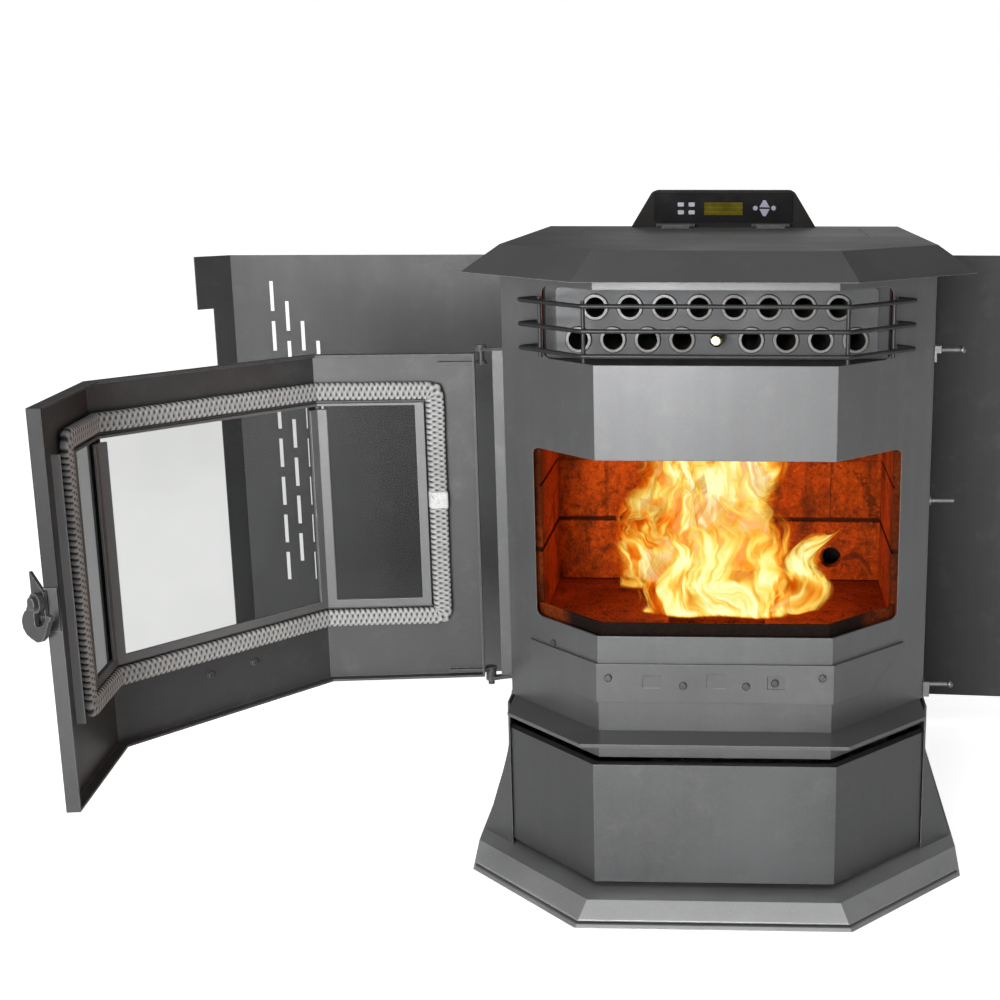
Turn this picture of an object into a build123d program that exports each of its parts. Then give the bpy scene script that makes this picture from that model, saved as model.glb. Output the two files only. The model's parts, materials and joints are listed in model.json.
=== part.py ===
from build123d import *
import math
import os

os.makedirs("parts", exist_ok=True)

# ---------------------------------------------------------------------------
# Driving dimensions, millimetres. +Z up, +X to the right, -Y toward the room.
# The origin is on the floor under the middle of the plinth.
# Outlines are drawn with y = 0 at the side corners of the bay front and are
# moved by bay_y at the end.
# ---------------------------------------------------------------------------
bay_y = -137.0          # where the bay's side corners stand in the finished frame
body_half = 262.0       # half width of the body
front_half = 139.0      # half width of the middle facet of the bay
bay_depth = 123.0       # the facets run back at 45 degrees
body_back = 455.0       # inside of the rear panel
body_z0 = 220.0
body_z1 = 784.4
sheet = 3.0

plinth_half = 311.0
plinth_top = 22.0
ledge_z0, ledge_z1 = 216.0, 220.0

fire_half = 222.0       # fire opening
fire_z0, fire_z1 = 338.0, 550.0
outlet_half = 205.0     # warm air opening
outlet_z0, outlet_z1 = 660.0, 745.0

lid_low, lid_top = 757.0, 789.0
lid_over = 45.0
lid_back = 490.0
hatch_half, hatch_y0, hatch_y1 = 197.0, 222.0, 430.0

tube_pitch, tube_od, tube_id = 40.5, 27.0, 23.0
tube_z_top, tube_z_low = 720.0, 682.0
knob_z = 685.3

door_z0, door_z1 = 246.0, 658.5
door_out, door_in = 16.0, 13.5     # outer and inner face of the door skin, off the bay
door_lip = 2.0                     # how near the door's edges come to the bay
door_hinge_len, door_latch_len = 195.0, 178.0
hinge_x, hinge_y = -289.0, 4.0
door_open = 128.0
win_len = 112.0
win_z0, win_z1 = 346.0, 598.0

panel_x = 303.0
panel_fold_y = 38.0
panel_axis_y = 478.0
panel_z0, panel_z1 = 50.0, 747.0     # the left panel starts higher
left_panel_z0 = 82.0
panel_open = 86.0
panel_t = 1.5

drawer_z0, drawer_z1 = 30.0, 182.0

R2 = math.sqrt(2.0)
T = math.tan(math.radians(22.5))


# ---------------------------------------------------------------------------
# helpers
# ---------------------------------------------------------------------------
def polygon(points):
    pts = []
    for p in points:
        if not pts or math.dist(p[:2], pts[-1]) > 1e-4:
            pts.append((p[0], p[1]))
    if math.dist(pts[0], pts[-1]) < 1e-4:
        pts.pop()
    return make_face(Polyline(*pts, close=True))


def prism(points, z0, z1):
    return Pos(0, 0, z0) * extrude(polygon(points), amount=z1 - z0, dir=(0, 0, 1))


def section(points, z):
    return Pos(0, 0, z) * polygon(points)


def frustum(lower, z0, upper, z1):
    # straight-sided solid between two outlines whose edges are parallel in pairs
    a = [Vector(x, y, z0) for x, y in lower]
    b = [Vector(x, y, z1) for x, y in upper]
    faces = [Face(Wire.make_polygon(a, close=True)), Face(Wire.make_polygon(b, close=True))]
    for i in range(len(a)):
        j = (i + 1) % len(a)
        faces.append(Face(Wire.make_polygon([a[i], a[j], b[j], b[i]], close=True)))
    solid = Solid(Shell(faces)).fix()
    return solid


def rect(x0, x1, y0, y1):
    return [(x0, y0), (x1, y0), (x1, y1), (x0, y1)]


def outline(yf, diag, side, back):
    # bay outline: front edge at yf, facets on |x| + |y| = diag, sides at +-side
    side = min(side, diag + back)
    hf = diag + yf
    yo = -(diag - side)
    return [(-side, back), (-side, yo), (-hf, yf), (hf, yf), (side, yo), (side, back)]


def bay(o, back, side=None):
    return outline(-bay_depth - o, body_half + R2 * o, body_half + o if side is None else side, back)


def bay_strip(o_in, o_out, z0, z1, side=None, back=0.0):
    a = prism(bay(o_out, back, side), z0, z1)
    b = prism(bay(o_in, back + 50.0, None if side is None else side + 50.0), z0 - 1, z1 + 1)
    return a - b


def block(x0, x1, y0, y1, z0, z1):
    return Pos((x0 + x1) / 2, (y0 + y1) / 2, (z0 + z1) / 2) * Box(x1 - x0, y1 - y0, z1 - z0)


def yblock(x0, x1, y0, y1, z0, z1, r):
    b = block(x0, x1, y0, y1, z0, z1)
    return fillet(b.edges().filter_by(Axis.Y), r)


def cyl(x, y, z, r, length, axis="Z"):
    # cylinder that starts at (x, y, z) and runs along +axis
    if axis == "Z":
        return Pos(x, y, z + length / 2) * Cylinder(r, length)
    if axis == "Y":
        return Pos(x, y + length / 2, z) * Rot(90, 0, 0) * Cylinder(r, length)
    return Pos(x + length / 2, y, z) * Rot(0, 90, 0) * Cylinder(r, length)


def xz_prism(points, y0, y1):
    solid = extrude(polygon(points), amount=y1 - y0, dir=(0, 0, 1))
    return Pos(0, y1, 0) * Rot(90, 0, 0) * solid


def yz_prism(points, x0, x1):
    solid = extrude(polygon(points), amount=x1 - x0, dir=(0, 0, 1))
    return Plane(origin=(x0, 0, 0), x_dir=(0, 1, 0), z_dir=(1, 0, 0)) * solid


def facet_point(side, s, o):
    # s runs along a side facet from the outer fold of the door skin, o is off the bay
    d = s - T * door_out
    return (side * (front_half + (d + o) / R2), -bay_depth + (d - o) / R2)


def facet_block(side, s0, s1, o0, o1, z0, z1):
    return prism([facet_point(side, s, o) for s, o in ((s0, o0), (s1, o0), (s1, o1), (s0, o1))], z0, z1)


SOLIDS = {}


def node(name, shape):
    SOLIDS[name] = shape


def group(shapes):
    out = []
    for s in shapes:
        out += list(s.solids())
    return Compound(children=out)


# ---------------------------------------------------------------------------
# pedestal
# ---------------------------------------------------------------------------
low = outline(-198.0, 362.0, plinth_half, 472.0)
top = outline(-169.0, 321.0, plinth_half - 2.0, 470.0)
low_in = outline(-195.0, 357.8, plinth_half - 3.0, 469.0)
top_in = outline(-166.5, 316.0, plinth_half - 5.0, 467.0)
plinth = frustum(low, 0.0, top, plinth_top) - frustum(low_in, 3.0, top_in, plinth_top - 2.5)
plinth -= prism(outline(-120.0, 256.0, 286.0, 448.0), 10.0, 40.0)
for sx in (-1, 1):
    x0, x1 = sorted((sx * 188.0, sx * 214.0))
    rail = block(x0, x1, 4.0, 300.0, 2.0, 32.2) - block(x0 + 2, x1 - 2, 3.0, 301.0, 2.9, 30.2)
    plinth += rail
node("base_plinth", plinth)

flare = [(265.0, 215.8), (265.0, 162.0), (267.0, 150.0), (270.6, 136.0), (275.0, 120.0), (284.5, 90.0),
         (290.8, 70.0), (296.5, 49.5), (299.0, 42.0), (306.0, plinth_top)]
ped_diag = 286.0


def skirt(sx):
    outer = [(sx * x, z) for x, z in flare]
    inner = [(sx * (x - 2.5), z) for x, z in reversed(flare)]
    side = xz_prism(outer + inner, -60.0, 452.0)
    wing = xz_prism([(sx * 262.6, 215.8)] + [(sx * x, z) for x, z in flare] + [(sx * 262.6, plinth_top)], -60.0, 90.0)
    keep_side = prism([(sx * 200, -(ped_diag - 200)), (sx * 340, -(ped_diag - 340)), (sx * 340, 460), (sx * 200, 460)], 0, 230)
    keep_wing = prism([(sx * 200, -(ped_diag - 200)), (sx * 340, -(ped_diag - 340)),
                       (sx * 340, -(ped_diag - 340) + 3.5), (sx * 200, -(ped_diag - 200) + 3.5)], 0, 230)
    return (side & keep_side) + (wing & keep_wing)


back_plate = xz_prism([(x, z) for x, z in flare] + [(-x, z) for x, z in reversed(flare)], 452.0, 454.5)
shell = skirt(1) + skirt(-1) + back_plate
node("pedestal_shell", shell)

# hearth plate with its lip, the bent rail under it and the hole for falling ash
ledge = prism(bay(lid_over, 455.0, 258.0), ledge_z0, ledge_z1)
ledge += block(-264.5, 264.5, 8.0, 455.0, ledge_z0, ledge_z1)
ledge += bay_strip(-3.0, 0.0, 186.0, ledge_z0, side=259.0, back=0.0)
ledge -= block(-60, 60, -94, 4, ledge_z0 - 1, ledge_z1 + 1)
node("ledge_plate", ledge)

# ---------------------------------------------------------------------------
# body sheets
# ---------------------------------------------------------------------------
front = bay_strip(-sheet, 0.0, body_z0, body_z1)
front -= yblock(-fire_half, fire_half, -200, -20, fire_z0, fire_z1, 9.0)
front -= yblock(-outlet_half, outlet_half, -200, -30, outlet_z0, outlet_z1, 10.0)
bolt_xz = [(-126.7, 288.0), (-37.7, 279.0), (37.0, 279.0), (71.3, 282.5), (127.3, 290.0)]
for bx, bz in bolt_xz:
    front -= cyl(bx, -130, bz, 3.1, 20, "Y")
screw_at = (-199.0, -63.0, 310.0)
node("body_front", front)


def side_sheet(sx):
    x0, x1 = sorted((sx * (body_half - sheet), sx * body_half))
    s = block(x0, x1, 0.0, 455.0, body_z0, body_z1)
    s -= block(x0 - 1, x1 + 1, 186.0, 436.0, 252.0, 742.0)
    return s


node("body_left_side", side_sheet(-1))
node("body_right_side", side_sheet(1))

rear = xz_prism([(-296, 222), (296, 222), (296, 744), (262, 752), (262, body_z1), (-262, body_z1), (-262, 752), (-296, 744)], 455.0, 458.0)
flue_x, flue_z = 203.0, 425.0
intake_x, intake_z = 75.0, 290.0
rear -= cyl(flue_x, 450, flue_z, 37.4, 12, "Y")
rear -= cyl(intake_x, 450, intake_z, 24.4, 12, "Y")
rear -= block(-216, -184, 450, 462, 246, 272)
for row in range(7):
    for col in range(5):
        rear -= yblock(-232 + 36 * col, -208 + 36 * col, 450, 462, 320 + 14 * row, 326 + 14 * row, 2.9)
for row in range(5):
    for col in range(4):
        rear -= yblock(-66 + 36 * col, -42 + 36 * col, 450, 462, 640 + 14 * row, 646 + 14 * row, 2.9)
panel_pin_z = [(268.0, 308.0), (690.0, 730.0)]
for sx in (-1, 1):
    for za, zb in panel_pin_z:
        # ear that carries each side panel's rear hinge pin
        x0, x1 = sorted((sx * 262.0, sx * 304.0))
        ax = sx * panel_x
        for ze in (za - 4.0, zb):
            ear = block(*sorted((sx * 280.0, sx * 301.5)), 458.0, 461.0, ze, ze + 4.0)
            ear += prism([(sx * 284, 458), (sx * 296, 458), (ax + sx * 5, panel_axis_y - 1), (ax - sx * 5, panel_axis_y + 3), (sx * 284, 464)], ze, ze + 4.0)
            ear += cyl(ax, panel_axis_y, ze, 5.0, 4.0)
            rear += ear
        rear += cyl(ax, panel_axis_y, za - 2.0, 2.5, zb - za + 4.0)
node("rear_panel", rear)

# ---------------------------------------------------------------------------
# warm air outlet: recess box, light face plate, tubes, bent bar guard
# ---------------------------------------------------------------------------
tubes_xz = [(s * tube_pitch * (k + 0.5), tube_z_top) for k in range(4) for s in (-1, 1)]
tubes_xz += [(s * tube_pitch * (k + 1), tube_z_low) for k in range(4) for s in (-1, 1)]

tray = prism(outline(-119.7, 257.4, 208.0, -54.0), 657.0, 660.0)
box = tray + Pos(0, 0, 88.0) * tray + prism(outline(-57.0, 257.4, 208.0, -54.0), 658.0, 747.0)
face_plate = yblock(-188, 188, -60.0, -57.0, 663.0, 743.0, 6.0)
shell_box = prism(outline(-119.7, 257.4, 234.0, 168.0), 330.0, 755.0)
shell_box -= prism(outline(-180.0, 257.6 + 90, 231.0, 165.0), 333.0, 752.0)
for tx, tz in tubes_xz:
    hole = cyl(tx, -80, tz, tube_od / 2 + 0.02, 300, "Y")
    box -= hole
    face_plate -= hole
    shell_box -= hole
rod_hole = cyl(0, -80, knob_z, 4.1, 60, "Y")
box -= rod_hole
face_plate -= rod_hole
node("outlet_box", box)
node("tube_face_plate", face_plate)
tubes = []
for tx, tz in tubes_xz:
    # tube with the rolled rim that rests on the face plate
    rim = cyl(tx, -63, tz, 15.7, 2.98, "Y")
    rim = fillet(rim.edges().group_by(Axis.Y)[0], 1.2)
    tubes.append(rim + cyl(tx, -62, tz, tube_od / 2, 238, "Y") - cyl(tx, -64, tz, tube_id / 2, 241, "Y"))
node("heat_tubes", group(tubes))

bar_z = (729.5, 701.7, 673.8)
bar_o = 27.0
bar_r = 2.6
bx_out, by_out = 232.0, -(body_half + R2 * bar_o - 232.0)
bx_in, by_in = bx_out - (bar_o - 0.0) / R2, by_out + (bar_o - 0.0) / R2
hf27 = front_half + T * bar_o
guard = None
for bz in bar_z:
    pts = [(-bx_in, by_in, bz), (-bx_out, by_out, bz), (-hf27, -bay_depth - bar_o, bz),
           (hf27, -bay_depth - bar_o, bz), (bx_out, by_out, bz), (bx_in, by_in, bz)]
    path = FilletPolyline(*pts, radius=7.0)
    start = Plane(origin=path @ 0, z_dir=path % 0)
    bar = sweep(start * Circle(bar_r), path=path)
    guard = bar if guard is None else guard + bar
for sx in (-1, 1):
    for ux, uy in ((sx * 147.4, -145.4), (sx * 203.25, -90.4)):
        guard += cyl(ux, uy, 665.0, 2.4, 70.0)
node("outlet_guard", guard)

# ---------------------------------------------------------------------------
# firebox, bricks, burn pot seat, ash chute
# ---------------------------------------------------------------------------
chute_win = (-33.0, 33.0, 416.0, 470.0)
shell_box -= block(chute_win[0], chute_win[1], 160, 175, chute_win[2], chute_win[3])
exh_x, exh_z = 150.0, 366.0
shell_box -= cyl(exh_x, 160, exh_z, 28.0, 12, "Y")
pot_y0, pot_y1 = 30.0, 110.0
shell_box -= block(-56, 56, pot_y0 - 6, pot_y1 + 6, 325, 340)
shell_box += bay_strip(-11.5, -9.0, 332.0, 352.0, side=400.0, back=200.0) & block(-226, 226, -160, -30, 332, 352)
shell_box -= block(-60, 60, -94, 4, 325, 340)
shell_box += block(-62, 62, -96, 6, 220.4, 333.0) - block(-60, 60, -94, 4, 210, 340)
node("firebox_shell", shell_box)

brick = block(-226, 226, 140, 160, 335, 640)
brick -= block(chute_win[0], chute_win[1], 130, 170, chute_win[2], chute_win[3])
rows = [335, 418, 500, 582, 640]
for i, z in enumerate(rows[1:-1]):
    brick -= block(-230, 230, 139, 142.5, z - 2, z + 2)
for i in range(4):
    z0, z1 = rows[i], rows[i + 1]
    xs = (-150, 0, 150) if i % 2 else (-75, 75)
    for x in xs:
        brick -= block(x - 2, x + 2, 139, 142.5, z0, z1)
brick -= cyl(exh_x, 130, exh_z, 14.0, 40, "Y")
node("brick_back", brick)
side_bricks = []
for sx in (-1, 1):
    x0, x1 = sorted((sx * 214.5, sx * 229.0))
    b = block(x0, x1, -26.0, 138.0, 335, 640)
    for z in rows[1:-1]:
        xa, xb = sorted((sx * 214.0, sx * 217.0))
        b -= block(xa, xb, -30, 140, z - 2, z + 2)
    side_bricks.append(b)
node("side_bricks", group(side_bricks))

seat = block(-80, 106, 14, 124, 268, 329.7) - block(-77.5, 103.5, 16.5, 121.5, 270.5, 327.2)
seat += block(-55.5, 55.5, pot_y0 - 5.5, pot_y1 + 5.5, 327.0, 340.0)
seat -= block(-53, 53, pot_y0 - 3, pot_y1 + 3, 320, 345)
seat -= cyl(0, 110, 312, 6.2, 30, "Y")
seat -= cyl(intake_x, 110, intake_z, 22.3, 30, "Y")
node("burn_pot_seat", seat)

ign = cyl(0, 114, 312, 4.6, 84, "Y") + cyl(0, 124.2, 312, 9.0, 12, "Y")
node("igniter", ign)

# burn pot, lifts out of its seat
pot_out = frustum(rect(-44, 44, pot_y0 + 6, pot_y1 - 6), 300, rect(-50, 50, pot_y0, pot_y1), 345)
pot_out += block(-50, 50, pot_y0, pot_y1, 345, 376)
pot_out += block(-58, 58, pot_y0 - 8, pot_y1 + 8, 340.4, 345.0)
pot_in = frustum(rect(-39, 39, pot_y0 + 11, pot_y1 - 11), 305, rect(-45, 45, pot_y0 + 5, pot_y1 - 5), 345)
pot = pot_out - pot_in - block(-45, 45, pot_y0 + 5, pot_y1 - 5, 344.9, 380)
for hx in range(-30, 31, 15):
    for hy in range(-18, 19, 12):
        pot -= cyl(hx, (pot_y0 + pot_y1) / 2 + hy, 295, 2.5, 15)
for hx in range(-32, 33, 16):
    pot -= cyl(hx, pot_y0 - 20, 360, 2.5, 120, "Y")
pot -= cyl(0, 90, 312, 5.0, 30, "Y")
node("burn_pot", pot)

# ---------------------------------------------------------------------------
# pellet feed: hopper, auger tube with drop box, screw, gear motor
# ---------------------------------------------------------------------------
ax0 = (0.0, 372.0, 330.0)
ax_len = 222.0
ax_dir = (0.0, -1 / R2, 1 / R2)
axis_plane = Plane(origin=ax0, x_dir=(1, 0, 0), z_dir=ax_dir)


def on_auger(shape, s=0.0):
    return axis_plane * Pos(0, 0, s) * shape


def acyl(r, s0, s1):
    return axis_plane * Pos(0, 0, (s0 + s1) / 2) * Cylinder(r, s1 - s0)


tube = acyl(30, 0, ax_len) - acyl(28, 3, ax_len + 5) - acyl(6.1, -5, 10)
hop_y0, hop_y1 = 302.0, 368.0
feed_slot = block(-26, 26, hop_y0 + 2, hop_y1 - 2, 372, 470)
tube -= feed_slot & acyl(40, 8, 150)
drop = yz_prism([(168.2, 408), (168.2, 548), (246, 548), (246, 500), (206, 455)], -36, 36)
drop -= yz_prism([(160, 405), (160, 546), (244, 546), (244, 501), (205, 458)], -34, 34)
drop -= acyl(29.0, 100, ax_len)
drop -= acyl(27.9, 150, ax_len + 30)
drop -= block(-40, 40, 150, 168.2, 400, 560)
node("auger_tube", tube + drop)

hop = block(-199, 199, 219.5, 434, 640, 785.4) - block(-197.5, 197.5, 221, 432.5, 639, 790)
funnel = frustum(rect(-30, 30, hop_y0, hop_y1), 450, rect(-199, 199, 219.5, 434), 640)
funnel -= frustum(rect(-28.5, 28.5, hop_y0 + 1.5, hop_y1 - 1.5), 450, rect(-197.5, 197.5, 221, 432.5), 640)
hop += funnel
hop += block(-30, 30, hop_y0, hop_y1, 380, 450) - block(-28.5, 28.5, hop_y0 + 1.5, hop_y1 - 1.5, 370, 451)
hop -= acyl(30.05, -30, 200)
hop_keep = [s for s in hop.solids()]
hop_keep.sort(key=lambda s: -s.volume)
node("hopper", hop_keep[0])

screw = acyl(6.0, -9.0, ax_len - 8)
helix = Helix(pitch=38, height=ax_len - 26, radius=15.2)
flight_sec = Plane(origin=helix @ 0, x_dir=(1, 0, 0), z_dir=helix % 0) * Rectangle(19.6, 2.4)
flight = sweep(flight_sec, path=helix, is_frenet=True)
screw = screw + on_auger(flight, 8.0)
node("auger_screw", screw)

motor = on_auger(Box(76, 70, 34), -19.5 - 4.0)
motor += acyl(26, -78, -40.0)
motor -= acyl(6.06, -10, 2)
motor += on_auger(Pos(0, 33, 0) * Box(60, 2.5, 30), -8.0) - acyl(30.5, -10, 40)
node("auger_motor", motor)

# ---------------------------------------------------------------------------
# room air: blower, its wheel, duct to the back of the tubes
# ---------------------------------------------------------------------------
cb_y, cb_z = 250.0, 330.0
cx0, cx1 = -215.0, -135.0
case = cyl(cx0, cb_y, cb_z, 62, cx1 - cx0, "X") + block(cx0, cx1, cb_y - 62, cb_y - 34, cb_z, 396)
hollow = cyl(cx0 + 1.5, cb_y, cb_z, 60.5, cx1 - cx0 - 3, "X") + block(cx0 + 1.5, cx1 - 1.5, cb_y - 60.5, cb_y - 35.5, cb_z, 400)
case -= hollow
case -= cyl(cx0 - 2, cb_y, cb_z, 36, 6, "X")
case -= cyl(cx1 - 4, cb_y, cb_z, 9.0, 8, "X")
case += cyl(cx1, cb_y, cb_z, 38, 68, "X") - cyl(cx1 - 2, cb_y, cb_z, 9.0, 8, "X") - cyl(cx1 + 1, cb_y, cb_z, 4.07, 34, "X")
node("convection_blower", case)

wheel = cyl(cx1 - 8, cb_y, cb_z, 47, 2, "X") + cyl(cx1 - 20, cb_y, cb_z, 7, 14, "X") + cyl(cx1 - 20, cb_y, cb_z, 4, 50, "X")
ring = cyl(cx0 + 6, cb_y, cb_z, 47, 2, "X") - cyl(cx0 + 4, cb_y, cb_z, 39, 6, "X")
wheel += ring
for k in range(24):
    blade = Pos((cx0 + 6 + cx1 - 6) / 2, cb_y, cb_z) * Rot(15 * k, 0, 0) * Pos(0, 0, 43) * Rot(35, 0, 0) * Box(cx1 - cx0 - 12, 1.2, 8.4)
    wheel += blade
node("convection_wheel", wheel)

plen_y1 = 216.0
plen = block(-202, 202, 168.2, plen_y1, 656, 751.8) - block(-200, 200, 160, plen_y1 - 2, 658, 749.8)
duct = block(cx0, cx1, cb_y - 62, cb_y - 34, 396.2, 657) - block(cx0 + 1.5, cx1 - 1.5, cb_y - 60.5, cb_y - 35.5, 390, 660)
node("rear_air_duct", (plen - block(cx0 + 15, cx1 - 1.5, cb_y - 60.5, cb_y - 36, 650, 660)) + (duct & block(-202, cx1, 180, 220, 390, 657)))

# ---------------------------------------------------------------------------
# combustion air and exhaust
# ---------------------------------------------------------------------------
ey0, ey1 = 230.0, 284.0
lobe = [(exh_x - 46, exh_z + 46), (exh_x + 40, exh_z - 51), (flue_x + 41.8, flue_z - 4), (flue_x - 22, flue_z + 35.7)]


def scroll(r1, r2, y0, y1, grow):
    s = cyl(exh_x, y0, exh_z, r1, y1 - y0, "Y") + cyl(flue_x, y0, flue_z, r2, y1 - y0, "Y")
    c = Vector(flue_x, flue_z)
    s += xz_prism([(exh_x - 44 + grow, exh_z + 46 - grow), (exh_x + 44 - grow, exh_z - 46 + grow), (flue_x + 28 - grow, flue_z - 28 + grow), (flue_x - 28 + grow, flue_z + 28 - grow)], y0, y1)
    return s


ex = scroll(64, 40.5, ey0, ey1, 0.0) - scroll(62, 38.5, ey0 + 2, ey1 - 2, 1.6)
ex -= cyl(exh_x, ey0 - 2, exh_z, 28, 6, "Y")
ex -= cyl(exh_x, ey1 - 4, exh_z, 9, 8, "Y")
ex += cyl(exh_x, 168.2, exh_z, 30, ey0 - 168.2 + 1, "Y") - cyl(exh_x, 160, exh_z, 28, 80, "Y")
ex += cyl(flue_x, ey1 - 1, flue_z, 36.8, 463 - ey1, "Y") + cyl(flue_x, 459.0, flue_z, 38.0, 31.0, "Y")
ex -= cyl(flue_x, ey1 - 5, flue_z, 35.2, 220, "Y")
ex += cyl(exh_x, ey1, exh_z, 34, 60, "Y") - cyl(exh_x, ey1 - 2, exh_z, 9, 8, "Y") - cyl(exh_x, ey1, exh_z, 4.07, 32, "Y")
node("exhaust_blower", ex)

imp = cyl(exh_x, ey1 - 9, exh_z, 52, 2, "Y") + cyl(exh_x, ey0 + 10, exh_z, 8, ey1 - ey0 - 17, "Y") + cyl(exh_x, ey0 + 12, exh_z, 4, 70, "Y")
for k in range(8):
    imp += Pos(exh_x, (ey0 + 8 + ey1 - 8) / 2, exh_z) * Rot(0, 45 * k, 0) * Pos(0, 0, 29) * Box(2.0, ey1 - ey0 - 16, 46)
node("exhaust_impeller", imp)

node("air_intake_pipe", cyl(intake_x, 124.2, intake_z, 23.8, 336, "Y") + cyl(intake_x, 459.0, intake_z, 25.0, 31.0, "Y") - cyl(intake_x, 120, intake_z, 22.3, 380, "Y"))

inlet = yblock(-215.5, -184.5, 436, 458, 246.5, 271.5, 3.0) + yblock(-219, -181, 458, 461, 243, 275, 4.0)
inlet -= yblock(-212, -188, 444, 465, 250, 268, 3.0)
for px, pz in ((-207, 257), (-193, 257), (-200, 262)):
    inlet += block(px - 1, px + 1, 440, 456, pz - 2.4, pz + 2.4)
node("power_inlet", inlet)

# ---------------------------------------------------------------------------
# face plate below the fire opening and the visible fasteners
# ---------------------------------------------------------------------------
band = bay_strip(0.0, 4.0, 257.0, 305.0)
band &= xz_prism([(-232, 305), (-190, 257), (190, 257), (232, 305)], -200, 20)
for x0, x1, z0, z1, dep in ((-86, -64, 275.5, 290.5, 1.0), (-10, 12, 275.5, 293.0, 1.0), (62, 83, 274.5, 291.5, 2.4)):
    band -= block(x0, x1, -bay_depth - 4.0 - 1, -bay_depth - 4.0 + dep, z0, z1)
for bx, bz in bolt_xz:
    band -= cyl(bx, -135, bz, 3.1, 20, "Y")
node("band_plate", band)

bolts = []
for i, (bx, bz) in enumerate(bolt_xz):
    y_face = -bay_depth - 4.0 + (2.4 if i == 3 else 0.0)
    head = cyl(bx, y_face - 3.6, bz, 4.6, 3.6, "Y")
    head = chamfer(head.edges().group_by(Axis.Y)[0], 1.2)
    b = head + cyl(bx, y_face - 0.5, bz, 3.0, 14, "Y") + (cyl(bx, -bay_depth + sheet, bz, 5.4, 4.0, "Y"))
    bolts.append(b)
fx, fy = -199.0, -(body_half - 199.0)
scr = Pos(fx - 1.2 / R2, fy - 1.2 / R2, 310.0) * Rot(0, 0, -45) * Rot(90, 0, 0) * Cylinder(3.8, 2.4)
bolts.append(scr)
node("face_bolts", group(bolts))

# ---------------------------------------------------------------------------
# top plate with sloped rim, control pod
# ---------------------------------------------------------------------------


def lid_shape(inset, drop):
    a = outline(-bay_depth - lid_over + inset, body_half + R2 * lid_over - R2 * inset, body_half + lid_over - inset, lid_back - inset)
    b = outline(-bay_depth + inset * 0.6, body_half - R2 * inset * 0.6, body_half - inset * 0.6, lid_back - 2 - inset)
    return frustum(a, lid_low - (0.5 if inset else 0.0), b, lid_top - drop)


lid = lid_shape(0.0, 0.0) - lid_shape(3.4, 3.0)
lid -= block(-hatch_half, hatch_half, hatch_y0, hatch_y1, 780, 800)
hinge_ax_y, hinge_ax_z = 428.5, 792.3
for hx in (-70.0, 70.0):
    for ex0 in (hx - 28.0, hx + 21.0):
        lid += cyl(ex0, hinge_ax_y, hinge_ax_z, 3.0, 7.0, "X") + block(ex0, ex0 + 7.0, 430.2, 440, 788.5, 790.4) \
            + block(ex0, ex0 + 7.0, 428.5, 432.0, 789.4, 792.3)
    lid += cyl(hx - 24, hinge_ax_y, hinge_ax_z, 1.5, 48, "X")
node("top_plate", lid)

cover = block(-195.6, 195.6, hatch_y0 + 3.0, 427.0, 786.3, 789.0)
cover += block(-186, 186, 232, 420, 775, 786.3) - block(-184.5, 184.5, 233.5, 418.5, 770, 786.3)
for hx in (-70.0, 70.0):
    cover += block(hx - 20.4, hx + 20.4, 416, 427.0, 789.0, 790.4)
    cover += block(hx - 20.4, hx + 20.4, 425.0, 428.5, 789.4, 792.3) + cyl(hx - 20.4, hinge_ax_y, hinge_ax_z, 3.0, 40.8, "X")
    cover -= cyl(hx - 25, hinge_ax_y, hinge_ax_z, 1.56, 50, "X")
node("hopper_lid", cover)

pod_y0, pod_y1 = 446.0, 489.5


def pod_profile(gx, z0, z1, r):
    pts = [(-137 + gx, z0), (137 - gx, z0), (104 - gx * 0.7, z1), (-104 + gx * 0.7, z1)]
    f = make_face(Polyline(*[(p[0], p[1]) for p in pts], close=True))
    tops = f.vertices().group_by(Axis.Y)[-1]
    return fillet(tops, r)


def pod_solid(gx, y0, y1, z0, z1, r):
    return Pos(0, y1, 0) * Rot(90, 0, 0) * extrude(pod_profile(gx, z0, z1, r), amount=y1 - y0)


pod = pod_solid(0, pod_y0, pod_y1, 789.0, 843.0, 12.0)
pod = pod - pod_solid(3.0, pod_y0 + 3, pod_y1 - 2.5, 788.0, 840.0, 10.0)
face_x, face_z0, face_z1 = 102.5, 796.5, 839.5
pod -= yblock(-97, 97, pod_y0 - 2, pod_y0 + 4, 800, 836, 3.0)
node("pod_housing", pod)

pface = yblock(-face_x, face_x, pod_y0 - 2.0, pod_y0 - 0.0, face_z0, face_z1, 3.5)
disp = (-28.6, 28.6, 807.0, 825.6)
pface -= block(disp[0], disp[1], pod_y0 - 4, pod_y0 + 2, disp[2], disp[3])
small_keys = {"key_upper_left": (-62.8, 822.3), "key_upper_right": (-46.8, 822.3), "key_lower_left": (-62.8, 811.0), "key_lower_right": (-46.8, 811.0)}
for kx, kz in small_keys.values():
    pface -= yblock(kx - 5.0, kx + 5.0, pod_y0 - 4, pod_y0 + 2, kz - 3.4, kz + 3.4, 1.5)
nx, nz = 60.8, 817.2
nav = {"nav_up": (0, 7.2), "nav_down": (0, -7.2), "nav_left": (-13.4, 0), "nav_right": (13.4, 0)}


def nav_key(name, g):
    dx, dz = nav[name]
    if name in ("nav_up", "nav_down"):
        s = 1 if name == "nav_up" else -1
        h = 6.4 + g
        pts = [(nx - 7.6 - g, nz + s * (1.2 - g)), (nx + 7.6 + g, nz + s * (1.2 - g)), (nx + 2.0, nz + s * (11.6 + g)), (nx - 2.0, nz + s * (11.6 + g))]
        return pts
    return None


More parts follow.
